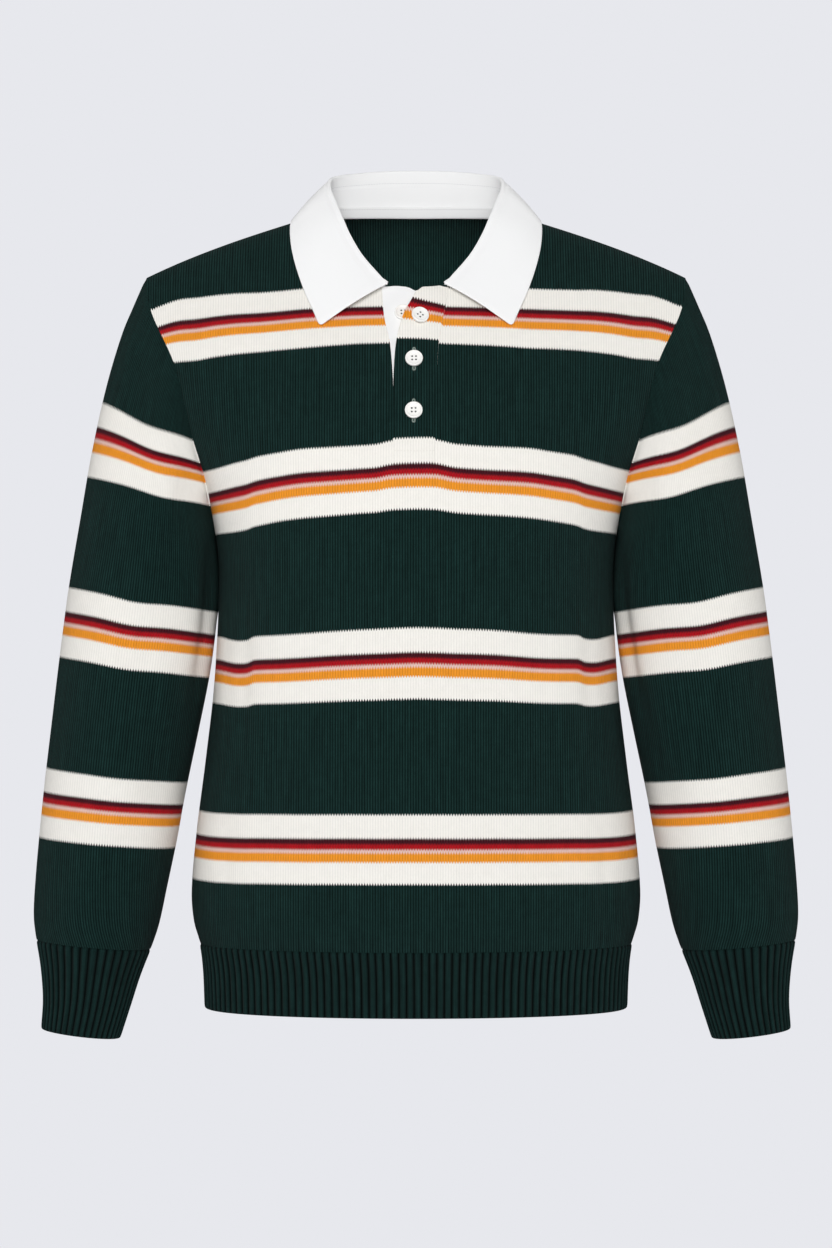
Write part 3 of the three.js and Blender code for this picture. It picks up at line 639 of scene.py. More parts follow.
# Walls: a grid of outer points with an inner point behind each. Rows run down, and columns run
# to the right as seen from outside.
def gridNormals(grid, closed=False):
    down = np.gradient(grid, axis=0)
    if closed:
        right = np.roll(grid, -1, axis=1) - np.roll(grid, 1, axis=1)
    else:
        right = np.gradient(grid, axis=1)
    return unit(np.cross(down, right))


def ringed(grid):  # a closed grid with its first column again at its end
    return np.concatenate([grid, grid[:, :1]], 1)


def smoothMesh(mesh, under):
    mesh.shade_smooth()
    mesh.set_sharp_from_angle(angle=math.radians(under))


def makeMesh(name, points, faces, uv, finish, smoothUnder=50):
    mesh = bpy.data.meshes.new(name)
    mesh.from_pydata((points * metre).tolist(), [], faces)
    if uv is not None:
        layer = mesh.uv_layers.new(name="cloth")
        layer.data.foreach_set("uv", (np.asarray(uv, np.float32) * metre).ravel())
    mesh.materials.append(finish)
    smoothMesh(mesh, smoothUnder)
    return addObject(name, mesh)


def rimEdges(keep, closed, spot, corner):  # the edges with no cell beyond them, and their maps
    around = np.pad(keep, 1)
    if closed:
        around[:, 0], around[:, -1] = around[:, -2], around[:, 1]
    sides = (
        (around[:-2, 1:-1], (0, 0), (0, 1)), (around[2:, 1:-1], (1, 1), (1, 0)),
        (around[1:-1, :-2], (1, 0), (0, 0)), (around[1:-1, 2:], (0, 1), (1, 1)),
    )
    edges, maps = [], []
    for beyond, *ends in sides:
        i, j = np.nonzero(keep & ~beyond)
        edges.append(np.stack([spot(i + di, j + dj) for di, dj in ends], 1))
        maps.append(np.stack([corner[end][i, j] for end in ends], 1))
    return np.concatenate(edges), np.concatenate(maps)


lipSteps = 3  # rows of points round a wall's rim, which bulge makes stand out


def wall(name, outer, inner, maps, finish, closed=False, keep=None, bulge=0.0):
    rows, cols = outer.shape[0] - 1, outer.shape[1] - (0 if closed else 1)
    keep = np.ones((rows, cols), bool) if keep is None else keep
    flatOut, flatIn = outer.reshape(-1, 3), inner.reshape(-1, 3)
    bulge = np.broadcast_to(bulge, outer.shape[:2]).reshape(-1)
    spot = lambda i, j: i * outer.shape[1] + j % outer.shape[1]
    left, right = maps
    corner = {(0, 0): left[:-1], (1, 0): left[1:], (1, 1): right[1:], (0, 1): right[:-1]}
    i, j = np.nonzero(keep)
    quads = np.stack([spot(i + di, j + dj) for di, dj in corner], 1)
    uvs = np.stack([corner[c][i, j] for c in corner], 1)
    faces, faceMaps = [quads, quads[:, ::-1] + len(flatOut)], [uvs, uvs[:, ::-1]]

    edges, edgeMaps = rimEdges(keep, closed, spot, corner)
    normals, out = gridNormals(outer, closed).reshape(-1, 3), np.zeros_like(flatOut)
    along = flatOut[edges[:, 1]] - flatOut[edges[:, 0]]
    for end in (0, 1):
        np.add.at(out, edges[:, end], unit(np.cross(normals[edges[:, end]], along)))
    used = np.unique(edges)
    place = np.full(len(flatOut), -1)
    place[used] = np.arange(len(used))
    points, layers = [flatOut, flatIn], [edges]
    for k in range(1, lipSteps + 1):
        turn = math.pi * k / (lipSteps + 1)
        lip = mix(flatOut[used], flatIn[used], (1 - math.cos(turn)) / 2)
        layers.append(place[edges] + sum(len(part) for part in points))
        points.append(lip + unit(out[used]) * (bulge[used] * math.sin(turn))[:, None])
    layers.append(edges + len(flatOut))
    for a, b in zip(layers, layers[1:]):
        faces.append(np.stack([a[:, 0], a[:, 1], b[:, 1], b[:, 0]], 1))
        faceMaps.append(edgeMaps[:, [0, 1, 1, 0]])
    points, faces = np.concatenate(points), np.concatenate(faces)
    seen, index = np.unique(faces, return_inverse=True)
    index, uv = index.reshape(faces.shape).tolist(), np.concatenate(faceMaps).reshape(-1, 2)
    piece = makeMesh(name, points[seen], index, uv, finish)
    if finish == stripedKnit:  # the inner faces come second
        # the inner faces take the knit copy with painted light
        piece.data.materials.append(knitInside)
        inside = np.arange(len(faces)) // len(quads) == 1
        piece.data.polygons.foreach_set("material_index", inside.astype(np.int32))
    return piece


def declareCut(grid, closed=False):  # works out the steps along the grid's rows and columns, and keeps nothing
    ring = ringed(grid) if closed else grid
    right, down = np.diff(ring, axis=1), np.diff(ring, axis=0)


def openPiece(name, grid, inner, uv, finish, outer=None, keep=None, bulge=0.0):
    declareCut(grid)
    outer = grid if outer is None else outer
    return wall(name, outer, inner, (uv[:, :-1], uv[:, 1:]), finish, keep=keep, bulge=bulge)


def clothInside(grid, thick, closed=False, bend=None):
    normals = gridNormals(grid, closed)
    return grid - (normals if bend is None else unit(bend(normals))) * thick


farAway = 99.0  # millimetres, past the reach of a seam


# Cloth rolls in towards a seam.
def dipSeam(grid, normals, away, deep=body["seamDip"], wide=body["dipWide"]):
    return grid - normals * (deep * np.exp(-(away / wide) ** 2))[..., None]


# Rows and columns of the front and back. A row's number and a column's share are those of the
# solid walls, and each step of theirs is divided.
panel = {
    "slotRows": 8, "capRows": 11, "rows": 20, "rowParts": (60, 22, 96), "hemRows": (0.05, 0.025, 0),
    "slotShare": 0.1, "slotCells": 12, "neckCells": 28, "shoulderCells": 44, "crowd": 1.7,
    "topCrowd": 1.5, "overStep": 6, "rounds": 40, "settle": 0.7, "neckNear": 0.01,
}
slotEdge = table(
    "z right left",
    (-60, -30.5, 28),
    (-84, -29.5, 27),
    (-103, -27.6, 23.5),
    (-125, -22.8, 20),
    (-168, -19.8, 17.2),
    (-234, -19.8, 15.8),
)
slotRight, slotLeft = column(slotEdge, "z", "right"), column(slotEdge, "z", "left")
hemShare = (body["hemTopZ"] - body["slotEndZ"]) / (body["hemTopZ"] - body["slotCornerZ"])


def slotLevel(top):
    return body["slotEndZ"] + np.maximum(0, top - body["slotCornerZ"]) * hemShare


def rowZ(top, row):
    level, hem = slotLevel(top), body["hemTopZ"]
    least = slotLevel(body["shoulderZ"])
    underarm = mix(level, hem, (body["underarmZ"] - least) / (hem - least))
    slotRows, capRows, rows = panel["slotRows"], panel["capRows"], panel["rows"]
    upper = mix(top, level, (np.minimum(row, slotRows) / slotRows) ** panel["topCrowd"])
    middle = mix(level, underarm, (row - slotRows) / (capRows - slotRows))
    lower = mix(underarm, hem, (row - capRows) / (rows - capRows))
    return np.where(row <= slotRows, upper, np.where(row <= capRows, middle, lower))


def frontX(share, z):
    slotShare, half = panel["slotShare"], bodyHalf(z)
    beyond = (np.abs(share) - slotShare) / (1 - slotShare)
    inside = mix(slotRight(z), slotLeft(z), (share / slotShare + 1) / 2)
    outside = np.where(share < 0, mix(slotRight(z), -half, beyond), mix(slotLeft(z), half, beyond))
    return np.where(beyond <= 0, inside, outside)


def backX(share, z):
    return share * bodyHalf(z)


def frontShare(x):
    z = topZ("front", x)
    edge = np.where(x < 0, -slotRight(z), slotLeft(z))
    beyond = (np.abs(x) - edge) / (bodyHalf(z) - edge)
    return np.sign(x) * (panel["slotShare"] + (1 - panel["slotShare"]) * beyond)


def backShare(x):
    return x / bodyHalf(topZ("back", x))


def panelRows():
    ends = (0, panel["slotRows"], panel["capRows"], panel["rows"])
    spans = zip(ends, ends[1:], panel["rowParts"])
    last = panel["rows"] - np.array(panel["hemRows"])
    return np.concatenate([np.linspace(*span, endpoint=False) for span in spans] + [last])


def panelShares(side):
    shareOf = frontShare if side == "front" else backShare
    steps = np.linspace(1, 0, panel["shoulderCells"] + 1)[:-1]
    shoulder = mix(body["shoulderX"], body["neckHalf"], steps ** panel["crowd"])
    neckRight, neckLeft = shareOf(body["neckHalf"] * np.array([-1.0, 1.0]))
    slot, count = panel["slotShare"], panel["neckCells"]
    shares = np.concatenate([
        [-1], shareOf(-shoulder[::-1])[:-1],
        np.linspace(neckRight, -slot, count, endpoint=False),
        np.linspace(-slot, slot, panel["slotCells"], endpoint=False),
        np.linspace(slot, neckLeft, count, endpoint=False),
        shareOf(shoulder)[1:], [1],
    ])
    return shares if side == "front" else -shares


def fromLast(grid):  # distance along a row from its last point
    return walked(grid[:, ::-1], 1)[:, ::-1]


def panelSurface(side):
    shares, rows = panelShares(side), panelRows()
    acrossAt = frontX if side == "front" else backX
    top = np.full(len(shares), float(body["shoulderZ"]))
    for _ in range(panel["rounds"]):
        top = mix(top, topZ(side, acrossAt(shares, top)), panel["settle"])
    edge = np.abs(shares) == 1
    top[edge] = body["shoulderZ"]
    z = rowZ(top[None], rows[:, None])
    grid = bodyPoint(side, acrossAt(shares[None], z), z)
    sideSeam = edge[None] & (rows[:, None] >= panel["capRows"])
    shoulder = (rows[:, None] == 0) & (np.abs(grid[..., 0]) >= body["neckHalf"] - panel["neckNear"])
    half = (-1 if side == "front" else 1) * body["seamGap"] / 2
    grid[..., 1] = np.where(shoulder, body["ridgeY"] + half, np.where(sideSeam, half, grid[..., 1]))

    def square(normals):
        normals = normals.copy()
        normals[..., 1] = np.where(sideSeam | shoulder, 0, normals[..., 1])
        normals[-1, :, 2] = 0
        return normals

    inner = clothInside(grid, body["knit"], bend=square)
    return shares, rows, grid, inner, shoulder


def makePanel(side, name):
    shares, rows, grid, inner, shoulder = panelSurface(side)
    x, z = grid[..., 0], grid[..., 2]
    place = stripePlace(side, x, z)
    steps = np.linalg.norm(np.diff(grid, axis=0), axis=-1)
    for i in range(len(rows) - 2, -1, -1):  # over the shoulder it is measured along the cloth
        over = place[i + 1] + np.minimum(steps[i], panel["overStep"])
        place[i] = np.where(place[i] > bandPlaces[-1], over, place[i])
    uv = np.stack([acrossPlace(side, x, z) * (1 if side == "front" else -1), place], -1)
    keep = None
    if side == "front":
        slot = np.abs(shares[:-1] + shares[1:]) / 2 < panel["slotShare"]
        keep = ~(slot[None] & (rows[:-1, None] < panel["slotRows"]))
    fromTop, normals = walked(grid), gridNormals(grid)
    deep = np.where(rows < panel["capRows"], body["armDip"], body["sideDip"])[:, None]
    outer = dipSeam(grid, normals, np.minimum(walked(grid, 1), fromLast(grid)), deep)
    outer = dipSeam(outer, normals, np.where(shoulder[:1], fromTop, farAway))
    outer = dipSeam(outer, normals, fromTop[-1:] - fromTop, body["hemDip"], body["hemDipWide"])
    bulge = np.zeros(grid.shape[:2])
    bulge[0, np.abs(x[0]) < body["neckHalf"] - body["lipFrom"]] = body["neckLip"]
    piece = openPiece(name, grid, inner, uv, stripedKnit, outer, keep, bulge)
    return piece, grid, inner, rows


print("front and back")
front, frontGrid, frontInside, panelRow = makePanel("front", "frontKnit")
back, backGrid, backInside, _ = makePanel("back", "backKnit")

# Rings of the left sleeve, from the armhole to the cuff's free end, seen from the front.
sleeve = {
    "armholeGap": 0.35, "fadeRings": 7, "parts": 10, "lastRing": 13, "halvings": 26, "sagWide": 24,
    "press": 2.4, "pressWide": 0.3, "pressRise": 0.8, "pressTo": 4.6, "pressFall": 1.1,
    "armDip": 0.8, "armDipWide": 3, "dipRings": 3, "loopParts": 6, "cuffDip": 0.3, "cuffDipWide": 2,
}
armRings = table(
    "ring outX outZ inX inZ deep y",
    (0, 243.6, -59.7, 181.3, -285, 60, 8),
    (1, 255, -86, 182, -291, 61, 7),
    (2, 265.5, -112, 181.4, -299, 61, 6),
    (3, 279, -158, 180, -312, 61, 5),
    (4, 291.8, -216, 179, -330, 61, 4),
    (5, 302.2, -276, 178.6, -353, 61, 4),
    (6, 312.5, -337, 181, -382, 60, 4),
    (7, 320.5, -397, 186.5, -420, 59, 4),
    (8, 327.5, -455, 196, -467, 58, 4),
    (9, 334, -511, 207.5, -522, 57, 3),
    (10, 338.5, -556, 215.5, -566, 56, 2),
    (11, 342.3, -600, 224, -607, 53, 1),
    (12, 343.8, -632, 231, -640, 49, 0),
    (13, 341.5, -654, 238.5, -663, 43, -1),
)
cuffRings = table(
    "ring outX outZ inX inZ deep y",
    (0, 341, -654.4, 239, -663.4, 42.5, -1),
    (1, 336.9, -680, 248.4, -687.5, 36, -2),
    (2, 334.9, -707.5, 257.2, -715, 31, -3),
    (3, 336.3, -733.5, 266, -742.3, 28, -4),
)
# turn is in radians from the outer edge towards the back, and so is wide.
sleeveFolds = {
    "left": table(
        "turn ring endTurn endRing wide deep",
        (3.75, 0.5, 4.35, 6.5, 0.3, 4),
        (5.3, 4.5, 4, 9, 0.32, 2.5),
        (4.3, 9, 4.9, 13, 0.3, 2.5),
        (2.5, 0.5, 1.9, 7, 0.3, 4.5),
        (1, 6, 2.4, 9.5, 0.32, 3.5),
        (2.1, 9.5, 1.3, 13, 0.3, 3),
        (3.4, 5.5, 4.1, 10.5, 0.22, 1.6),
        (5.5, 0.3, 5.1, 4, 0.34, 1.8),
        (4.9, 7.5, 5.4, 12.8, 0.3, 1.2),
        (1.6, 2.5, 1.2, 6, 0.3, 1.6),
        (3.5, 3.2, 3.62, 8.4, 0.17, 4.6),
        (3.95, 0.6, 4.25, 3.6, 0.16, 1.6),
        (4.7, 3.4, 4.25, 5.4, 0.15, 1.2),
    ),
    "right": table(
        "turn ring endTurn endRing wide deep",
        (3.8, 0.4, 4.45, 6.9, 0.29, 4.3),
        (5.2, 4.8, 3.9, 9.4, 0.3, 2.8),
        (4.2, 8.7, 4.8, 12.9, 0.28, 2.2),
        (2.45, 0.6, 1.85, 7.2, 0.31, 4.2),
        (1.1, 5.7, 2.5, 9.2, 0.3, 3.7),
        (2, 9.8, 1.2, 13, 0.3, 2.7),
        (3.5, 6, 4.2, 10, 0.24, 1.4),
        (5.45, 0.5, 5, 4.4, 0.32, 2.2),
        (5, 8, 5.5, 12.6, 0.28, 1.4),
        (1.5, 3, 1.1, 6.4, 0.3, 1.3),
        (3.52, 3, 3.6, 8, 0.18, 4.8),
        (3.9, 0.7, 4.3, 3.9, 0.15, 1.8),
        (4.75, 3, 4.3, 5, 0.14, 1.1),
    ),
}
# Lines of equal stripe place on the sleeve: z at x, the line's slope, and how far it sags at sagX.
sleeveLines = table(
    "place x z slope sagX sag",
    (-170, 292, -680, 0.09, 270, 0),
    (-61.6, 269.5, -567, 0.08, 265, 0),
    (0, 269.5, -506.3, 0.105, 265, 0.8),
    (100.4, 260.5, -408.2, 0.14, 256, 2.1),
    (162, 255, -347.5, 0.168, 248, 3),
    (262.4, 244.6, -250.4, 0.236, 225, 3.3),
    (282, 243.3, -229.6, 0.28, 229, 3.5),
    (303, 242.2, -209.1, 0.36, 233, 3.8),
    (324, 241, -189.3, 0.43, 238, 4),
    (418, 226, -60, 0.6, 240, 1),
)


def readRing(rings, ring):
    names = ("outX", "outZ", "inX", "inZ", "deep", "y")
    return [column(rings, "ring", name)(ring) for name in names]


def ringPoint(rings, ring, turn):
    outX, outZ, inX, inZ, deep, y = readRing(rings, ring)
    shape = np.broadcast_shapes(np.shape(ring), np.shape(turn))
    spread = lambda *values: np.stack([np.broadcast_to(v, shape) for v in values], -1)
    outer, inner = spread(outX, y, outZ), spread(inX, y, inZ)
    middle = (outer + inner) / 2
    across = (outer - inner) / 2 * np.cos(turn)[..., None]
    return middle, middle + across + spread(0, deep * np.sin(turn), 0)


def sleevePoint(ring, turn, folds):
    middle, point = ringPoint(armRings, ring, turn)
    inward = unit(middle - point)
    for fold in folds:
        along = (ring - fold["ring"]) / (fold["endRing"] - fold["ring"])
        off = (turn - mix(fold["turn"], fold["endTurn"], along)) / fold["wide"]
        deep = fold["deep"] * np.sin(np.pi * np.clip(along, 0, 1)) * np.exp(-off * off)
        point = point + inward * deep[..., None]
    return point


def linePlace(x, z):  # which line passes through x, z, found by halving
    low, high = (np.full(x.shape, float(sleeveLines[end]["place"])) for end in (0, -1))
    read = {name: column(sleeveLines, "place", name) for name in ("x", "z", "slope", "sagX", "sag")}
    for _ in range(sleeve["halvings"]):
        place = (low + high) / 2
        line = read["z"](place) + read["slope"](place) * (x - read["x"](place))
        off = (x - read["sagX"](place)) / sleeve["sagWide"]
        line = line - read["sag"](place) * np.exp(-off ** 2)
        low, high = np.where(z > line, place, low), np.where(z > line, high, place)
    return (low + high) / 2


def roundMap(grid, place):  # u runs both ways round from the outer edge, to a seam at the inner one
    u, count = walked(ringed(grid), 1), grid.shape[1]
    first, other = np.arange(count) < count // 2, u - u[:, -1:]
    uLeft = np.where(first, u[:, :-1], other[:, :-1])
    uRight = np.where(first, u[:, 1:], other[:, 1:])
    return np.stack([uLeft, place], -1), np.stack([uRight, np.roll(place, -1, axis=1)], -1)


def ringAcross(rings, ring):
    outX, outZ, inX, inZ, _, _ = readRing(rings, ring)
    return unit(np.array([outZ - inZ, 0, inX - outX]))


def squareEnds(rings, numbers):  # the wall stands square to these rings, given as row and ring
    def bend(normals):
        normals = normals.copy()
        for row, ring in numbers:
            axis = ringAcross(rings, ring)
            normals[row] -= (normals[row] @ axis)[:, None] * axis
        return normals
    return bend


def turned(grid):  # the right side's grid is the left's, reflected, with its columns reversed
    flipped = grid[:, ::-1].copy()
    flipped[..., 0] *= -1
    return flipped


def roundWall(side, name, outer, inner, maps, finish, bulge=0.0):
    if side == "right":  # a closed grid's cells follow its columns round
        outer, inner = (np.roll(turned(grid), 1, axis=1) for grid in (outer, inner))
        maps = [turned(m) for m in maps[::-1]]
    return wall(name, outer, inner, maps, finish, closed=True, bulge=bulge)


def armholeEdge():  # the armhole's outer and inner loops, and each point's turn
    cap = int(np.nonzero(panelRow == panel["capRows"])[0][0])
    loops = []
    for frontSide, backSide in ((frontGrid, backGrid), (frontInside, backInside)):
        f, b = frontSide[: cap + 1, -1], backSide[: cap + 1, 0]
        ends = (f[0] + b[0]) / 2, (f[cap] + b[cap]) / 2
        loops.append(np.concatenate([[ends[0]], b[1:cap], [ends[1]], f[1:cap][::-1]]))
    turn = np.pi * panelRow[: cap + 1] / panel["capRows"]
    return *loops, np.concatenate([turn, (2 * np.pi - turn[1:cap])[::-1]])


edgeOut, edgeIn, turns = armholeEdge()


def fromLoop(grid, loop):  # how far each point of the first rows is from a closed line
    shares = np.linspace(0, 1, sleeve["loopParts"], endpoint=False)
    fine = np.concatenate([mix(loop, np.roll(loop, -1, axis=0), share) for share in shares])
    away = np.full(grid.shape[:2], farAway)
    for i in range(sleeve["dipRings"] * sleeve["parts"]):
        away[i] = np.linalg.norm(grid[i][:, None] - fine[None], axis=-1).min(1)
    return away


def makeSleeve(side):
    name, last = f"sleeve{side.title()}", sleeve["lastRing"]
    ring = np.linspace(0, last, last * sleeve["parts"] + 1)[:, None]
    fade = (1 - smooth(ring / sleeve["fadeRings"]))[..., None]
    own = edgeOut[None] - ringPoint(armRings, np.zeros((1, 1)), turns[None])[1]
    gap = np.array([sleeve["armholeGap"], 0, 0])
    grid = sleevePoint(ring, turns[None], sleeveFolds[side]) + (own + gap) * fade
    near = smooth(ring / sleeve["pressRise"])
    near = near * (1 - smooth((ring - sleeve["pressTo"]) / sleeve["pressFall"]))
    beside = near * np.exp(-((turns[None] - np.pi) / sleeve["pressWide"]) ** 2)
    grid[..., 0] -= sleeve["press"] * beside  # the underarm lies against the side
    inner = clothInside(grid, body["knit"], True, squareEnds(armRings, [(len(ring) - 1, last)]))
    inner[0] = edgeIn + gap
    away, normals = walked(grid), gridNormals(grid, True)
    outer = dipSeam(grid, normals, fromLoop(grid, grid[0]), sleeve["armDip"], sleeve["armDipWide"])
    outer = dipSeam(outer, normals, away[-1:] - away, sleeve["cuffDip"], sleeve["cuffDipWide"])
    declareCut(grid, True)
    maps = roundMap(grid, linePlace(grid[..., 0], grid[..., 2]))
    return roundWall(side, name, outer, inner, maps, stripedKnit)


print("sleeves")
sleeves = {side: makeSleeve(side) for side in ("left", "right")}

# Ribbing: Geometry Nodes press the ribs into a plain wall, from the share round it that each
# point holds. Every rib is one column of stitches.
socketKinds = {float: "NodeSocketFloat", int: "NodeSocketInt", type(None): "NodeSocketMaterial"}


def nodeTree(name, inputs):
    tree = bpy.data.node_groups.new(name, "GeometryNodeTree")
    tree.interface.new_socket("Geometry", in_out="INPUT", socket_type="NodeSocketGeometry")
    for label, value in inputs.items():
        item = tree.interface.new_socket(label, in_out="INPUT", socket_type=socketKinds[type(value)])
        if value is not None:
            item.default_value = value
    tree.interface.new_socket("Geometry", in_out="OUTPUT", socket_type="NodeSocketGeometry")
    graph = Graph(tree)
    source = tree.nodes.new("NodeGroupInput")
    return graph, {socket.name: Wire(graph, socket) for socket in source.outputs if socket.name}


def endTree(graph, shape, finish):
    real = graph.add("GeometryNodeRealizeInstances", {0: shape})
    painted = graph.add("GeometryNodeSetMaterial", {"Geometry": real, "Material": finish})
    graph.add("NodeGroupOutput", {0: painted})
    return graph.tree


def ribTree():
    inputs = {"Ribs": 100.0, "Depth": 0.001, "Crest": 0.6, "Sunk": 0.25, "Material": None}
    graph, given = nodeTree("pressRibs", inputs)
    wave = abs((graph.held("round") * given["Ribs"] * math.pi).sine()) ** given["Crest"]
    height = (wave - given["Sunk"]) * graph.held("ribFade") * given["Depth"]
    values = {0: graph.held("outward", "FLOAT_VECTOR"), "Scale": height}
    offset = graph.add("ShaderNodeVectorMath", values, operation="SCALE")
    moved = graph.add("GeometryNodeSetPosition", {"Geometry": given["Geometry"], "Offset": offset})
    return endTree(graph, moved, given["Material"])


def growWith(tree, piece, inputs):  # runs a tree on a piece and keeps the result as a plain mesh
    modifier = piece.modifiers.new(tree.name, "NODES")
    modifier.node_group = tree
    for item in tree.interface.items_tree:
        if item.in_out == "INPUT" and item.name in inputs:
            modifier[item.identifier] = inputs[item.name]
    bpy.context.view_layer.update()
    ready = piece.evaluated_get(bpy.context.evaluated_depsgraph_get())
    mesh = bpy.data.meshes.new_from_object(ready)
    piece.modifiers.remove(modifier)
    old, name = piece.data, piece.data.name
    piece.data = mesh
    bpy.data.meshes.remove(old)
    mesh.name = name
    return piece


pressRibs = ribTree()

def ribbed(piece, normals, share, fade, ribs):  # a wall's first points are its outer grid's
    mesh = piece.data
    outward = np.zeros((len(mesh.vertices), 3))
    outward[:share.size] = normals.reshape(-1, 3)
    for name, values in (("round", share), ("ribFade", fade)):
        held = np.zeros(len(mesh.vertices))
        held[:share.size] = values.reshape(-1)
        mesh.attributes.new(name, "FLOAT", "POINT").data.foreach_set("value", held)
    held = mesh.attributes.new("outward", "FLOAT_VECTOR", "POINT")
    held.data.foreach_set("vector", outward.ravel())
    sizes = {"Ribs": float(ribs), "Depth": rib["depth"] * metre, "Sunk": rib["sunk"]}
    return growWith(pressRibs, piece, {**sizes, "Material": greenRib})


def sectionLoop(z, count):  # evenly spaced points round the level section
    turn = np.linspace(0, 2 * np.pi, rib["loopParts"] + 1)
    x = -bodyHalf(z) * np.cos(turn)
    loop = np.where((turn < np.pi)[:, None], bodyPoint("front", x, z), bodyPoint("back", x, z))
    away = walked(loop)
    goal = np.arange(count) / count * away[-1]
    return np.stack([np.interp(goal, away, loop[:, k]) for k in range(3)], -1)


def ribFades(away):  # the ribs are shallower at both ends
    top, foot = smooth(away / rib["topFade"]), smooth((away[-1:] - away) / rib["footFade"])
    return mix(rib["topShare"], 1, top) * mix(rib["footShare"], 1, foot)


def ribPiece(side, name, grid, inner, ribs):
    count, away, normals = grid.shape[1], walked(grid), gridNormals(grid, True)
    wide = rib["pitch"] * ribs / count
    u = np.broadcast_to(np.arange(count) * wide, grid.shape[:2])
    maps = [np.stack([u, -away], -1), np.stack([u + wide, -np.roll(away, -1, axis=1)], -1)]
    outer = dipSeam(grid, normals, away, rib["seamDip"], rib["seamWide"])
    declareCut(grid, True)
    piece = roundWall(side, name, outer, inner, maps, greenRib, rib["lip"])
    share, fade = np.broadcast_to(np.arange(count) / count, grid.shape[:2]), ribFades(away)
    if side == "right":
        share, fade = (np.roll(v[:, ::-1], 1, axis=1) for v in (share, fade))
        normals = np.roll(turned(normals), 1, axis=1)
    return ribbed(piece, normals, share, fade, ribs)


def makeHem():
    levels = np.linspace(hemBox[1][2], hemBox[0][2], rib["hemRows"])
    levels = np.insert(levels, 1, levels[0] - np.array(rib["hemStart"]))
    grid = np.stack([sectionLoop(z, rib["hem"] * rib["hemColumns"]) for z in levels])
    inner = clothInside(grid, body["knit"], True, lambda normals: normals * np.array([1, 1, 0]))
    return ribPiece("left", "hemRib", grid, inner, rib["hem"])


def makeCuff(side):
    ring = np.linspace(0, rib["cuffRings"], rib["cuffRings"] * rib["cuffParts"] + 1)
    ring = np.insert(ring, 1, rib["cuffStart"])[:, None]
    count = rib["cuff"] * rib["cuffColumns"]
    turn = 2 * np.pi * np.arange(count)[None] / count
    grid = ringPoint(cuffRings, ring, turn)[1]
    inner = clothInside(grid, body["knit"], True, squareEnds(cuffRings, list(enumerate(ring[:, 0]))))
    return ribPiece(side, f"cuff{side.title()}", grid, inner, rib["cuff"])


print("ribbing")
hem = makeHem()
cuffs = {side: makeCuff(side) for side in ("left", "right")}

placket = {
    "lift": 0.5, "liftOver": 8, "gap": 0.06, "dip": 0.4, "spring": 6.5, "springFrom": -136,
    "springRound": 1.5, "rows": 64, "rounds": 30, "endUp": 0.1, "overCells": 24, "underCells": 16,
    "rise": 2.3, "cornerDrop": 3.5, "cornerWide": 3, "riseTo": 20, "riseFade": 7, "foldLip": 1.0,
    "stripeDrop": 4.5, "stripeRise": 3, "underSink": 2.2, "sinkFrom": 0.25, "sinkSteep": 3,
    "underEnd": 2, "underLip": 0.5,
    # how high the inner placket's top goes, from which x and over what width
    "underRises": ((3, -30, 14), (-4.2, -9, 11)),
}
# How far up the stripes on the placket are from those beside it.
placketShift = column(table(
    "z up",
    (-234, 0.2), (-222, 0.9), (-210, 2), (-190, 3), (-160, 4.2), (-60, 4.2),
), "z", "up")
foldX = column(table(
    "z x",
    (-70, 3.5), (-77, 1), (-84, -2.5), (-98, -10), (-118, -15.5), (-140, -18), (-168, -19), (-234, -19.4),
), "z", "x")


def openShare(z):
    return smooth((z - placket["springFrom"]) / (-body["frontNeckDrop"] - placket["springFrom"]))


def stripGrid(shares, acrossAt, liftAt, riseAt):
    rows = np.linspace(0, panel["slotRows"], placket["rows"] + 1)[:, None]
    top = np.full(len(shares), -float(body["frontNeckDrop"]))
    for _ in range(placket["rounds"]):
        top = neckZ("front", acrossAt(shares, top)) + riseAt(acrossAt(shares, top))
    z = rowZ(top[None], rows) + np.where(rows == panel["slotRows"], placket["endUp"], 0)
    return bodyPoint("front", acrossAt(shares[None], z), z, liftAt(shares[None], z))


def overRise(x):  # the top's corner is rounded off, and the rest stands above the neck's edge
    corner = (x - foldX(-float(body["frontNeckDrop"]))) / placket["cornerWide"]
    rise = placket["rise"] - placket["cornerDrop"] * np.exp(-corner ** 2)
    return rise * (1 - smooth((x - placket["riseTo"]) / placket["riseFade"]))


def underRise(x):  # it stands above the neck's edge, and drops behind the placket over it
    return sum(high * smooth((x - start) / wide) for high, start, wide in placket["underRises"])


def makePlacketOver():
    shares = np.linspace(0, 1, placket["overCells"] + 1)
    acrossAt = lambda share, z: mix(foldX(z), slotLeft(z) - placket["gap"], share)
    liftAt = lambda share, z: (
        placket["lift"] * smooth((z - body["slotEndZ"]) / placket["liftOver"])
        + placket["spring"] * openShare(z) * (1 - share) ** placket["springRound"])
    grid = stripGrid(shares, acrossAt, liftAt, overRise)
    x, z = grid[..., 0], grid[..., 2]
    tilt = placket["stripeDrop"] * (1 - shares) - placket["stripeRise"] * shares
    place = stripePlace("front", x, z) - placketShift(z) - openShare(z) * tilt
    uv = np.stack([acrossPlace("front", x, z), place], -1)
    outer = dipSeam(grid, gridNormals(grid), fromLast(grid), placket["dip"])
    bulge = np.zeros(grid.shape[:2])
    bulge[:, 0], bulge[0] = placket["foldLip"], body["neckLip"]
    inner = grid + np.array([0, body["knit"], 0])
    return openPiece("placketOver", grid, inner, uv, stripedKnit, outer, bulge=bulge)


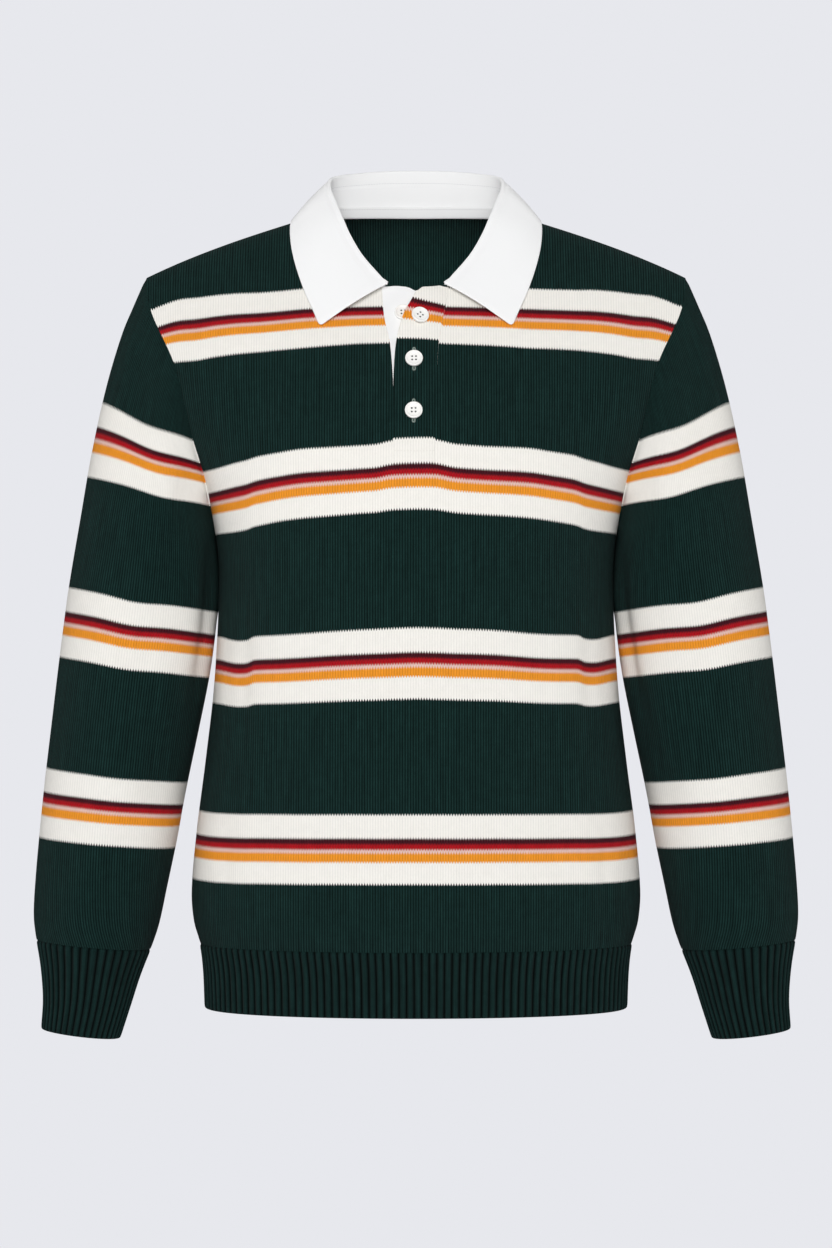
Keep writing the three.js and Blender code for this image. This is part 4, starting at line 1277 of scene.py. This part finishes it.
def makePlacketUnder():
    shares = np.linspace(0, 1, placket["underCells"] + 1)
    ends = lambda z: (slotRight(z) + placket["gap"], slotLeft(z) - placket["underEnd"])
    acrossAt = lambda share, z: mix(*ends(z), share)
    sink = lambda share: smooth(placket["sinkFrom"] + share * placket["sinkSteep"])
    liftAt = lambda share, z: -placket["underSink"] * sink(share)
    grid = stripGrid(shares, acrossAt, liftAt, underRise)
    bulge = np.zeros(grid.shape[:2])
    bulge[0] = placket["underLip"]
    inner = grid + np.array([0, body["woven"], 0])
    return openPiece("placketUnder", grid, inner, grid[..., [0, 2]], whiteCotton, bulge=bulge)


print("plackets")
over, under = makePlacketOver(), makePlacketUnder()

# Stations of the collar from the middle of the back to the front end.
collarTable = table(
    "side neckX foldX foldY foldZ edgeX edgeZ",
    ("back", 0, 0, 60, 45, 0, -14),
    ("back", 28, 30, 56, 44, 38, -15),
    ("back", 52, 55, 45, 40.5, 74, -17),
    ("back", 70, 71, 30, 36.5, 101, -18),
    ("back", 79.5, 78, 14, 31.5, 110, -10.8),
    ("front", 82, 78.2, 0, 22, 111.5, -11.2),
    ("front", 81, 73.6, -12, 9.5, 112, -23),
    ("front", 77, 67.8, -24, -5.5, 110, -39),
    ("front", 69, 60.2, -33, -23.5, 105, -58),
    ("front", 57, 49.6, -42, -42, 97.5, -79),
    ("front", 43, 35.8, -51, -59, 90, -96),
    ("front", 29, 26.3, -57, -69.5, 84.3, -109.5),
)
collar = {
    "leafLift": 3.4, "leafBow": 2.5, "leafFrom": 0.03, "settle": 0.12, "thick": 1.5, "crownIn": 0.3,
    "foldRound": 1.9, "foldRows": 8, "foldEnd": 0.25, "insideLeg": 18.5, "legShare": 0.42,
    "pointRound": 3.2, "endRound": 0.4, "roundOver": 14, "endLeg": 0.45, "legOver": 18,
    "parts": 8, "rows": 46, "legSewn": (0.9, 0.67), "standRows": 13, "standUnder": 1.5,
    "standTopIn": 0.9, "standFootIn": 0.5, "footRise": 0.9, "tapeStations": (7, 16), "tapeParts": 5,
    "tapeAbove": 5.5, "tapeBelow": 1, "tapeThick": 1, "tapeOffStand": 3.5,
}
up = np.array([0, 0, 1.0])


def toward(p, q, far):
    return p + unit(q - p) * far


# The neck seam's point, one below it, the way in, the fold's crown, the leaf's edge on the body,
# the way out of the body there, and the level way out.
def station(row, sign):
    edgeZ = min(row["edgeZ"], ridgeZ(row["edgeX"]) - 1)
    seamZ = neckZ(row["side"], row["neckX"])
    neck = bodyPoint(row["side"], row["neckX"], seamZ)
    below = toward(neck, bodyPoint(row["side"], row["neckX"], seamZ - 0.5), collar["tapeBelow"])
    inward = -bodyOut(row["side"], row["neckX"], seamZ)
    crown = np.array([row["foldX"], row["foldY"], row["foldZ"]], float)
    edge = bodyPoint(row["side"], row["edgeX"], edgeZ)
    lift = bodyOut(row["side"], row["edgeX"], edgeZ)
    out = unit((edge - crown) * np.array([1, 1, 0]))
    return np.array([neck, below, inward, crown, edge, lift, out]) * np.array([sign, 1, 1])


stations = np.array(
    [station(row, 1) for row in collarTable[::-1]] + [station(row, -1) for row in collarTable[1:]])


def between(values, count, parts):  # smooth points between rows of values, evenly divided
    slope = np.gradient(values, axis=0)
    where = np.linspace(0, count, count * parts + 1)
    i = np.minimum(where.astype(int), len(values) - 2)
    t = (where - i).reshape((-1,) + (1,) * (values.ndim - 1))
    return curve(values[i], values[i + 1], slope[i], slope[i + 1], t)


def collarLines(rows=slice(None)):
    picked = stations[rows]
    fine = between(picked, len(picked) - 1, collar["parts"])
    neck, below, inward, crown, edge, lift, out = (fine[:, k] for k in range(7))
    return neck, below, unit(inward), crown, edge, unit(lift), unit(out)


def nearEnd(wide):  # 0 at the collar's front ends, 1 past this width
    away = walked(collarLines()[3])
    return smooth(np.minimum(away, away[-1] - away) / wide)[:, None]


def foldRadius():  # the roll is tighter at the front ends
    return collar["foldRound"] * mix(collar["endRound"], 1, nearEnd(collar["roundOver"]))


def legLength(neck, crown):  # how far the fall reaches down inside the fold
    high = np.linalg.norm(neck - crown, axis=-1, keepdims=True)
    long = np.minimum(collar["insideLeg"], high * collar["legShare"])
    return long * mix(collar["endLeg"], 1, nearEnd(collar["legOver"]))


def foldLeg(share):  # a line on the fall's inside leg, from its crown at 0 to its lower edge at 1
    neck, _, _, crown, _, _, out = collarLines()
    r = foldRadius()
    middle = crown - out * collar["crownIn"] - up * r
    return middle - out * r + unit(neck - crown) * (legLength(neck, crown) - r) * share


def roundPoints(grid, size):  # rounds the two lower corners of a grid
    grid = grid.copy()
    fromLow = walked(grid[::-1])[::-1]
    for flip in (1, -1):
        part = grid[:, ::flip]
        x = np.clip(size - walked(part, 1), 0, size)
        y = np.clip(size - fromLow[:, ::flip], 0, size)
        shrinkX = x * (1 - np.sqrt(1 - y * y / (2 * size * size)))
        shrinkY = y * (1 - np.sqrt(1 - x * x / (2 * size * size)))
        inwardX, inwardY = unit(np.gradient(part, axis=1)), -unit(np.gradient(part, axis=0))
        part += inwardX * shrinkX[..., None] + inwardY * shrinkY[..., None]
    return grid


def cottonPiece(name, grid, thick, across, down, bulge):
    uv = np.stack(np.broadcast_arrays(across, -down), -1)
    return openPiece(name, grid, clothInside(grid, thick), uv, whiteCotton, bulge=bulge)


def makeFall():
    _, _, _, crown, edge, lift, out = collarLines()
    r = foldRadius()
    middle = crown - out * collar["crownIn"] - up * r
    # up the inside from the seam on the stand, over the fold, and down the leaf
    rows = [foldLeg(share) for share in np.linspace(1, 0, collar["foldRows"])[:-1]]
    for turn in np.linspace(np.pi, collar["foldEnd"], collar["foldRows"]):
        rows.append(middle + out * r * math.cos(turn) + up * r * math.sin(turn))
    start, end = rows[-1], edge + lift * collar["leafLift"]
    for share in np.linspace(0, 1, collar["rows"])[1:]:
        down = mix(collar["leafFrom"], 1, share)
        bow = lift * math.sin(math.pi * min(down, 1)) * collar["leafBow"]
        leaf = crown + (end - crown) * down + bow
        rows.append(mix(start + (end - start) * share, leaf, smooth(share / collar["settle"])))
    grid = roundPoints(np.array(rows), collar["pointRound"])
    return cottonPiece("collarFall", grid, collar["thick"], walked(crown), walked(grid), bulge=0.7)


def makeStand():
    neck, _, _, crown, _, _, out = collarLines()
    reach = legLength(neck, crown) - collar["standUnder"]
    top = toward(crown, neck, reach) - out * collar["standTopIn"]
    foot = toward(neck, crown, collar["footRise"]) - out * collar["standFootIn"]
    grid = np.array([mix(top, foot, share) for share in np.linspace(0, 1, collar["standRows"])])
    return cottonPiece("collarStand", grid, body["woven"], walked(neck), walked(grid), bulge=0.2)


def makeTape():
    neck, below, inward, crown, _, _, out = collarLines(slice(*collar["tapeStations"]))
    thick = collar["tapeThick"]
    foot = toward(neck, crown, collar["tapeAbove"]) - out * collar["tapeOffStand"]
    seam, low = (line + inward * (body["knit"] + thick) for line in (neck, below))
    grid = between(np.array([foot, seam, low]), 2, collar["tapeParts"])
    piece = cottonPiece("neckTape", grid, thick, walked(neck), grid[..., 2], bulge=0.3)
    return piece, clothInside(grid, thick)


print("collar")
fall, stand = makeFall(), makeStand()
tape, tapeInside = makeTape()

# Sewing: stitches along lines of points, each line with a facing direction, by Geometry Nodes.
sewing = {"pitch": 2.6, "long": 2.1, "wide": 0.42, "high": 0.26, "turn": 0.0, "above": 0.05}
# The row that holds the placket's lower end, inside its fold and its seam.
endSewing = {
    "z": -221.0, "points": 30, "fromFold": 1.2, "fromSeam": 1, "above": 0.06,
    "stitches": {"long": 1.8, "wide": 0.36, "high": 0.2},
}


def stitchTree():
    graph, given = nodeTree("sewStitches", {
        "Pitch": 0.0026, "Long": 0.002, "Wide": 0.0004, "High": 0.0003, "Turn": 0.0,
        "Uneven": 0.06, "Seed": 7, "Material": None,
    })
    line = graph.add("GeometryNodeMeshToCurve", {0: given["Geometry"]})
    line = graph.add("GeometryNodeResampleCurve", {0: line, "Length": given["Pitch"]}, mode="LENGTH")
    align = "FunctionNodeAlignRotationToVector"
    aim = graph.add(align, {"Vector": graph.add("GeometryNodeInputTangent")}, axis="X")
    facing = {"Rotation": aim, "Vector": graph.held("facing", "FLOAT_VECTOR")}
    aim = graph.add(align, facing, axis="Z", pivot_axis="X")
    swing = {2: -1.0, 3: 1.0, "Seed": given["Seed"]}
    wobble = graph.add("FunctionNodeRandomValue", swing, 1, data_type="FLOAT")
    turn = graph.vector(0.0, 0.0, given["Turn"] + wobble * given["Uneven"])
    spin = graph.add("FunctionNodeEulerToRotation", {0: turn})
    aim = graph.add("FunctionNodeRotateRotation", {0: aim, 1: spin}, rotation_space="LOCAL")
    size = graph.vector(given["Long"], given["Wide"], given["High"])
    bead = graph.add("GeometryNodeMeshUVSphere", {"Segments": 8, "Rings": 6, "Radius": 0.5})
    beads = {"Points": line, "Instance": bead, "Rotation": aim, "Scale": size}
    return endTree(graph, graph.add("GeometryNodeInstanceOnPoints", beads), given["Material"])


sewStitches = stitchTree()


def sew(name, lines, finish, **sizes):  # lines: pairs of points and facings
    edges, first = [], 0
    for points, _ in lines:
        edges += [(k, k + 1) for k in range(first, first + len(points) - 1)]
        first += len(points)
    points, facings = (np.concatenate(part) for part in zip(*lines))
    mesh = bpy.data.meshes.new(name)
    mesh.from_pydata((points * metre).tolist(), edges, [])
    held = mesh.attributes.new("facing", "FLOAT_VECTOR", "POINT")
    held.data.foreach_set("vector", facings.ravel())
    made = {**sewing, **sizes}
    inputs = {label: made[label.lower()] * metre for label in ("Pitch", "Long", "Wide", "High")}
    inputs.update({"Turn": made["turn"], "Material": finish})
    piece = growWith(sewStitches, addObject(name, mesh), inputs)
    piece.data.shade_smooth()
    return piece


def makeStitches():
    out, above = collarLines()[6], sewing["above"]
    lines = [(foldLeg(share) - out * above, -out) for share in collar["legSewn"]]
    collarSewing = sew("collarStitches", lines, threads["whiteThread"])
    normals = -gridNormals(tapeInside)
    lines = [(tapeInside[row] + normals[row] * above, normals[row]) for row in (1, -2)]
    tapeSewing = sew("tapeStitches", lines, threads["whiteThread"])
    z = np.full(endSewing["points"], endSewing["z"])
    ends = foldX(z[0]) + endSewing["fromFold"], slotLeft(z[0]) - endSewing["fromSeam"]
    x = np.linspace(*ends, len(z))
    line = bodyPoint("front", x, z, placket["lift"] + endSewing["above"]), bodyOut("front", x, z)
    placketSewing = sew("placketStitches", [line], threads["ivoryThread"], **endSewing["stitches"])
    return collarSewing, tapeSewing, placketSewing


print("sewing")
collarSewing, tapeSewing, placketSewing = makeStitches()

button = {
    "wide": 15.5, "thick": 2.6, "edge": 0.8, "rim": 1.8, "dish": 0.9, "hole": 1.7, "apart": 3.3,
    "sides": 72, "holeSides": 20, "slope": 0.9, "swell": 0.05, "drill": 9, "smoothUnder": 40,
    "plug": 0.94, "plugSides": 12, "plugFrom": 0.1, "plugSunk": 0.5,
    "edgePoints": 6, "rimPoints": 10, "rimTurn": 0.86,
}
buttonhole = {
    "points": 61, "half": 1, "steep": 6, "above": 0.1,
    "stitches": {"pitch": 0.6, "long": 1.5, "wide": 0.62, "high": 0.4, "turn": math.pi / 2},
}
holes = [(right, rise) for right in (-0.5, 0.5) for rise in (-0.5, 0.5)]
# opening is the length of the buttonhole under it.
buttonSpots = table(
    "node x z lift turn opening",
    ("button_top", 3.5, -99.5, 4, 0.25, 0),
    ("button_middle", -1.7, -139, 1.1, 0, 20.5),
    ("button_lower", -2, -185.5, 1.1, 0, 20.5),
    ("button_under", -11.2, -96.5, -1.8, 0, 0),
)


def arc(x, y, r, start, end, count):
    return [(x + r * math.cos(a), y + r * math.sin(a)) for a in np.linspace(start, end, count)]


def buttonProfile():  # how far out and how high, from the middle of its back to that of its face
    half, thick, edge, rim = button["wide"] / 2, button["thick"], button["edge"], button["rim"]
    profile = [(0.0, 0.0)] + arc(half - edge, edge, edge, -math.pi / 2, 0, button["edgePoints"])
    rimEnd = math.pi * button["rimTurn"]
    profile += arc(half - rim / 2, thick - rim / 2, rim / 2, 0, rimEnd, button["rimPoints"])
    dished, low = half - rim - button["slope"], thick - button["dish"]
    profile += [(dished, low), (dished - 1, low - button["swell"])]
    return profile + [(0.0, low + button["swell"])]


def drill(blank):  # cuts the four holes, and returns the cutters
    drills = []
    for right, rise in holes:
        bpy.ops.mesh.primitive_cylinder_add(
            vertices=button["holeSides"], radius=button["hole"] / 2 * metre,
            depth=button["drill"] * metre, rotation=(math.pi / 2, 0, 0),
            location=(right * button["apart"] * metre, 0, rise * button["apart"] * metre))
        drills.append(bpy.context.object)
        cut = blank.modifiers.new("hole", "BOOLEAN")
        cut.operation, cut.object, cut.solver = "DIFFERENCE", drills[-1], "EXACT"
    return drills


def buttonMesh():
    profile, sides = buttonProfile(), button["sides"]
    points, faces = [(0, profile[0][1], 0)], []
    for across, high in profile[1:-1]:
        for k in range(sides):
            a = 2 * math.pi * k / sides
            points.append((across * math.cos(a), high, across * math.sin(a)))
    points.append((0, profile[-1][1], 0))
    last = len(profile) - 3
    ring = lambda level, k: 1 + level * sides + k % sides
    for k in range(sides):
        faces.append((0, ring(0, k), ring(0, k + 1)))
        for n in range(last):
            faces.append((ring(n, k), ring(n + 1, k), ring(n + 1, k + 1), ring(n, k + 1)))
        faces.append((ring(last, k), len(points) - 1, ring(last, k + 1)))
    mesh = bpy.data.meshes.new("buttonBlank")
    mesh.from_pydata((np.array(points) * metre).tolist(), [], faces)
    blank = addObject("buttonBlank", mesh)
    drills = drill(blank)
    bpy.context.view_layer.update()
    ready = blank.evaluated_get(bpy.context.evaluated_depsgraph_get())
    made = bpy.data.meshes.new_from_object(ready)
    for thing in drills + [blank]:
        bpy.data.objects.remove(thing)
    return made


# the plugs are painted near black: thread, with painted shade in the holes
def holePlugs():  # what fills a button's four holes, as closed round plugs
    count, half = button["plugSides"], button["hole"] / 2 * button["plug"]
    turn = 2 * math.pi * np.arange(count) / count
    ends = (button["plugFrom"], button["thick"] - button["dish"] - button["plugSunk"])
    plug = np.array([[half * math.cos(a), y, half * math.sin(a)] for y in ends for a in turn])
    faces = [[k, k + count, (k + 1) % count + count, (k + 1) % count] for k in range(count)]
    faces += [list(range(count)), list(range(2 * count - 1, count - 1, -1))]
    points = [plug + np.array([right, 0, rise]) * button["apart"] for right, rise in holes]
    return np.concatenate(points), repeated(faces, len(plug), len(holes))


def repeated(faces, count, times):  # the faces of several copies of one mesh
    return [[v + n * count for v in face] for n in range(times) for face in faces]


def makeHolePlugs(places):
    points, faces = holePlugs()
    moved = [points @ np.array(p.to_3x3()).T + np.array(p.translation) / metre for p in places]
    faces = repeated(faces, len(points), len(moved))
    return makeMesh("buttonThreads", np.concatenate(moved), faces, None, threads["darkThread"])


def makeButtonholes():
    half, above = buttonhole["half"], placket["lift"] + buttonhole["above"]
    turn, lines = np.linspace(0, 2 * np.pi, buttonhole["points"]), []
    for spot in buttonSpots:
        if spot["opening"]:
            straight = (spot["opening"] / 2 - half) * np.clip(np.cos(turn) * buttonhole["steep"], -1, 1)
            x, z = spot["x"] + half * np.sin(turn), spot["z"] + half * np.cos(turn) + straight
            lines.append((bodyPoint("front", x, z, above), bodyOut("front", x, z)))
    return sew("buttonholes", lines, threads["holeThread"], **buttonhole["stitches"])


def makeButtons():
    blank = buttonMesh()
    buttons, places = [], []
    for spot in buttonSpots:
        out = Vector(bodyOut("front", spot["x"], spot["z"]))
        out = Matrix.Rotation(spot["turn"], 3, "Z") @ out
        turn = Vector((0, 1, 0)).rotation_difference(out).to_matrix().to_4x4()
        place = Vector(bodyPoint("front", spot["x"], spot["z"], spot["lift"])) * metre
        places.append(Matrix.Translation(place) @ turn)
        mesh = blank.copy()
        mesh.transform(places[-1])
        mesh.materials.clear()
        mesh.materials.append(resin)
        smoothMesh(mesh, button["smoothUnder"])
        name = "".join(part.title() for part in spot["node"].split("_"))
        buttons.append(addObject(name[0].lower() + name[1:], mesh))
    return buttons, makeHolePlugs(places)


print("buttons")
buttons, buttonThreads = makeButtons()
buttonholes = makeButtonholes()

nodesOf = lambda start: [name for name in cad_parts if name.startswith(start)]
# piece, the nodes that it stands for, its slot, what it hangs from, and what is sewn on it
pieces = [
    (front, ["front_panel"], "striped_knit", [back], []),
    (back, nodesOf("back_panel"), "striped_knit", [front], []),
    (hem, ["hem_rib"], "green_rib", [front, back], []),
    (over, ["placket_over"], "striped_knit", [front], [placketSewing, buttonholes]),
    (under, ["placket_under"], "white_cotton", [front], []),
    (stand, ["collar_stand"], "white_cotton", [front, back], []),
    (fall, ["collar_fall"], "white_cotton", [stand], [collarSewing]),
    (tape, ["neck_tape"], "white_cotton", [stand, back], [tapeSewing]),
]
for side in ("left", "right"):
    pieces.append((sleeves[side], nodesOf(f"sleeve_{side}"), "striped_knit", [front, back], []))
    pieces.append((cuffs[side], [f"cuff_{side}"], "green_rib", [sleeves[side]], []))
for piece, nodes, slot, carriers, sewn in pieces:
    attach(piece, "root")
    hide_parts(*nodes)
    for thread in sewn:
        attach(thread, "root")
for piece, spot in zip(buttons, buttonSpots):
    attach(piece, "root")
    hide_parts(spot["node"])
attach(buttonThreads, "root")
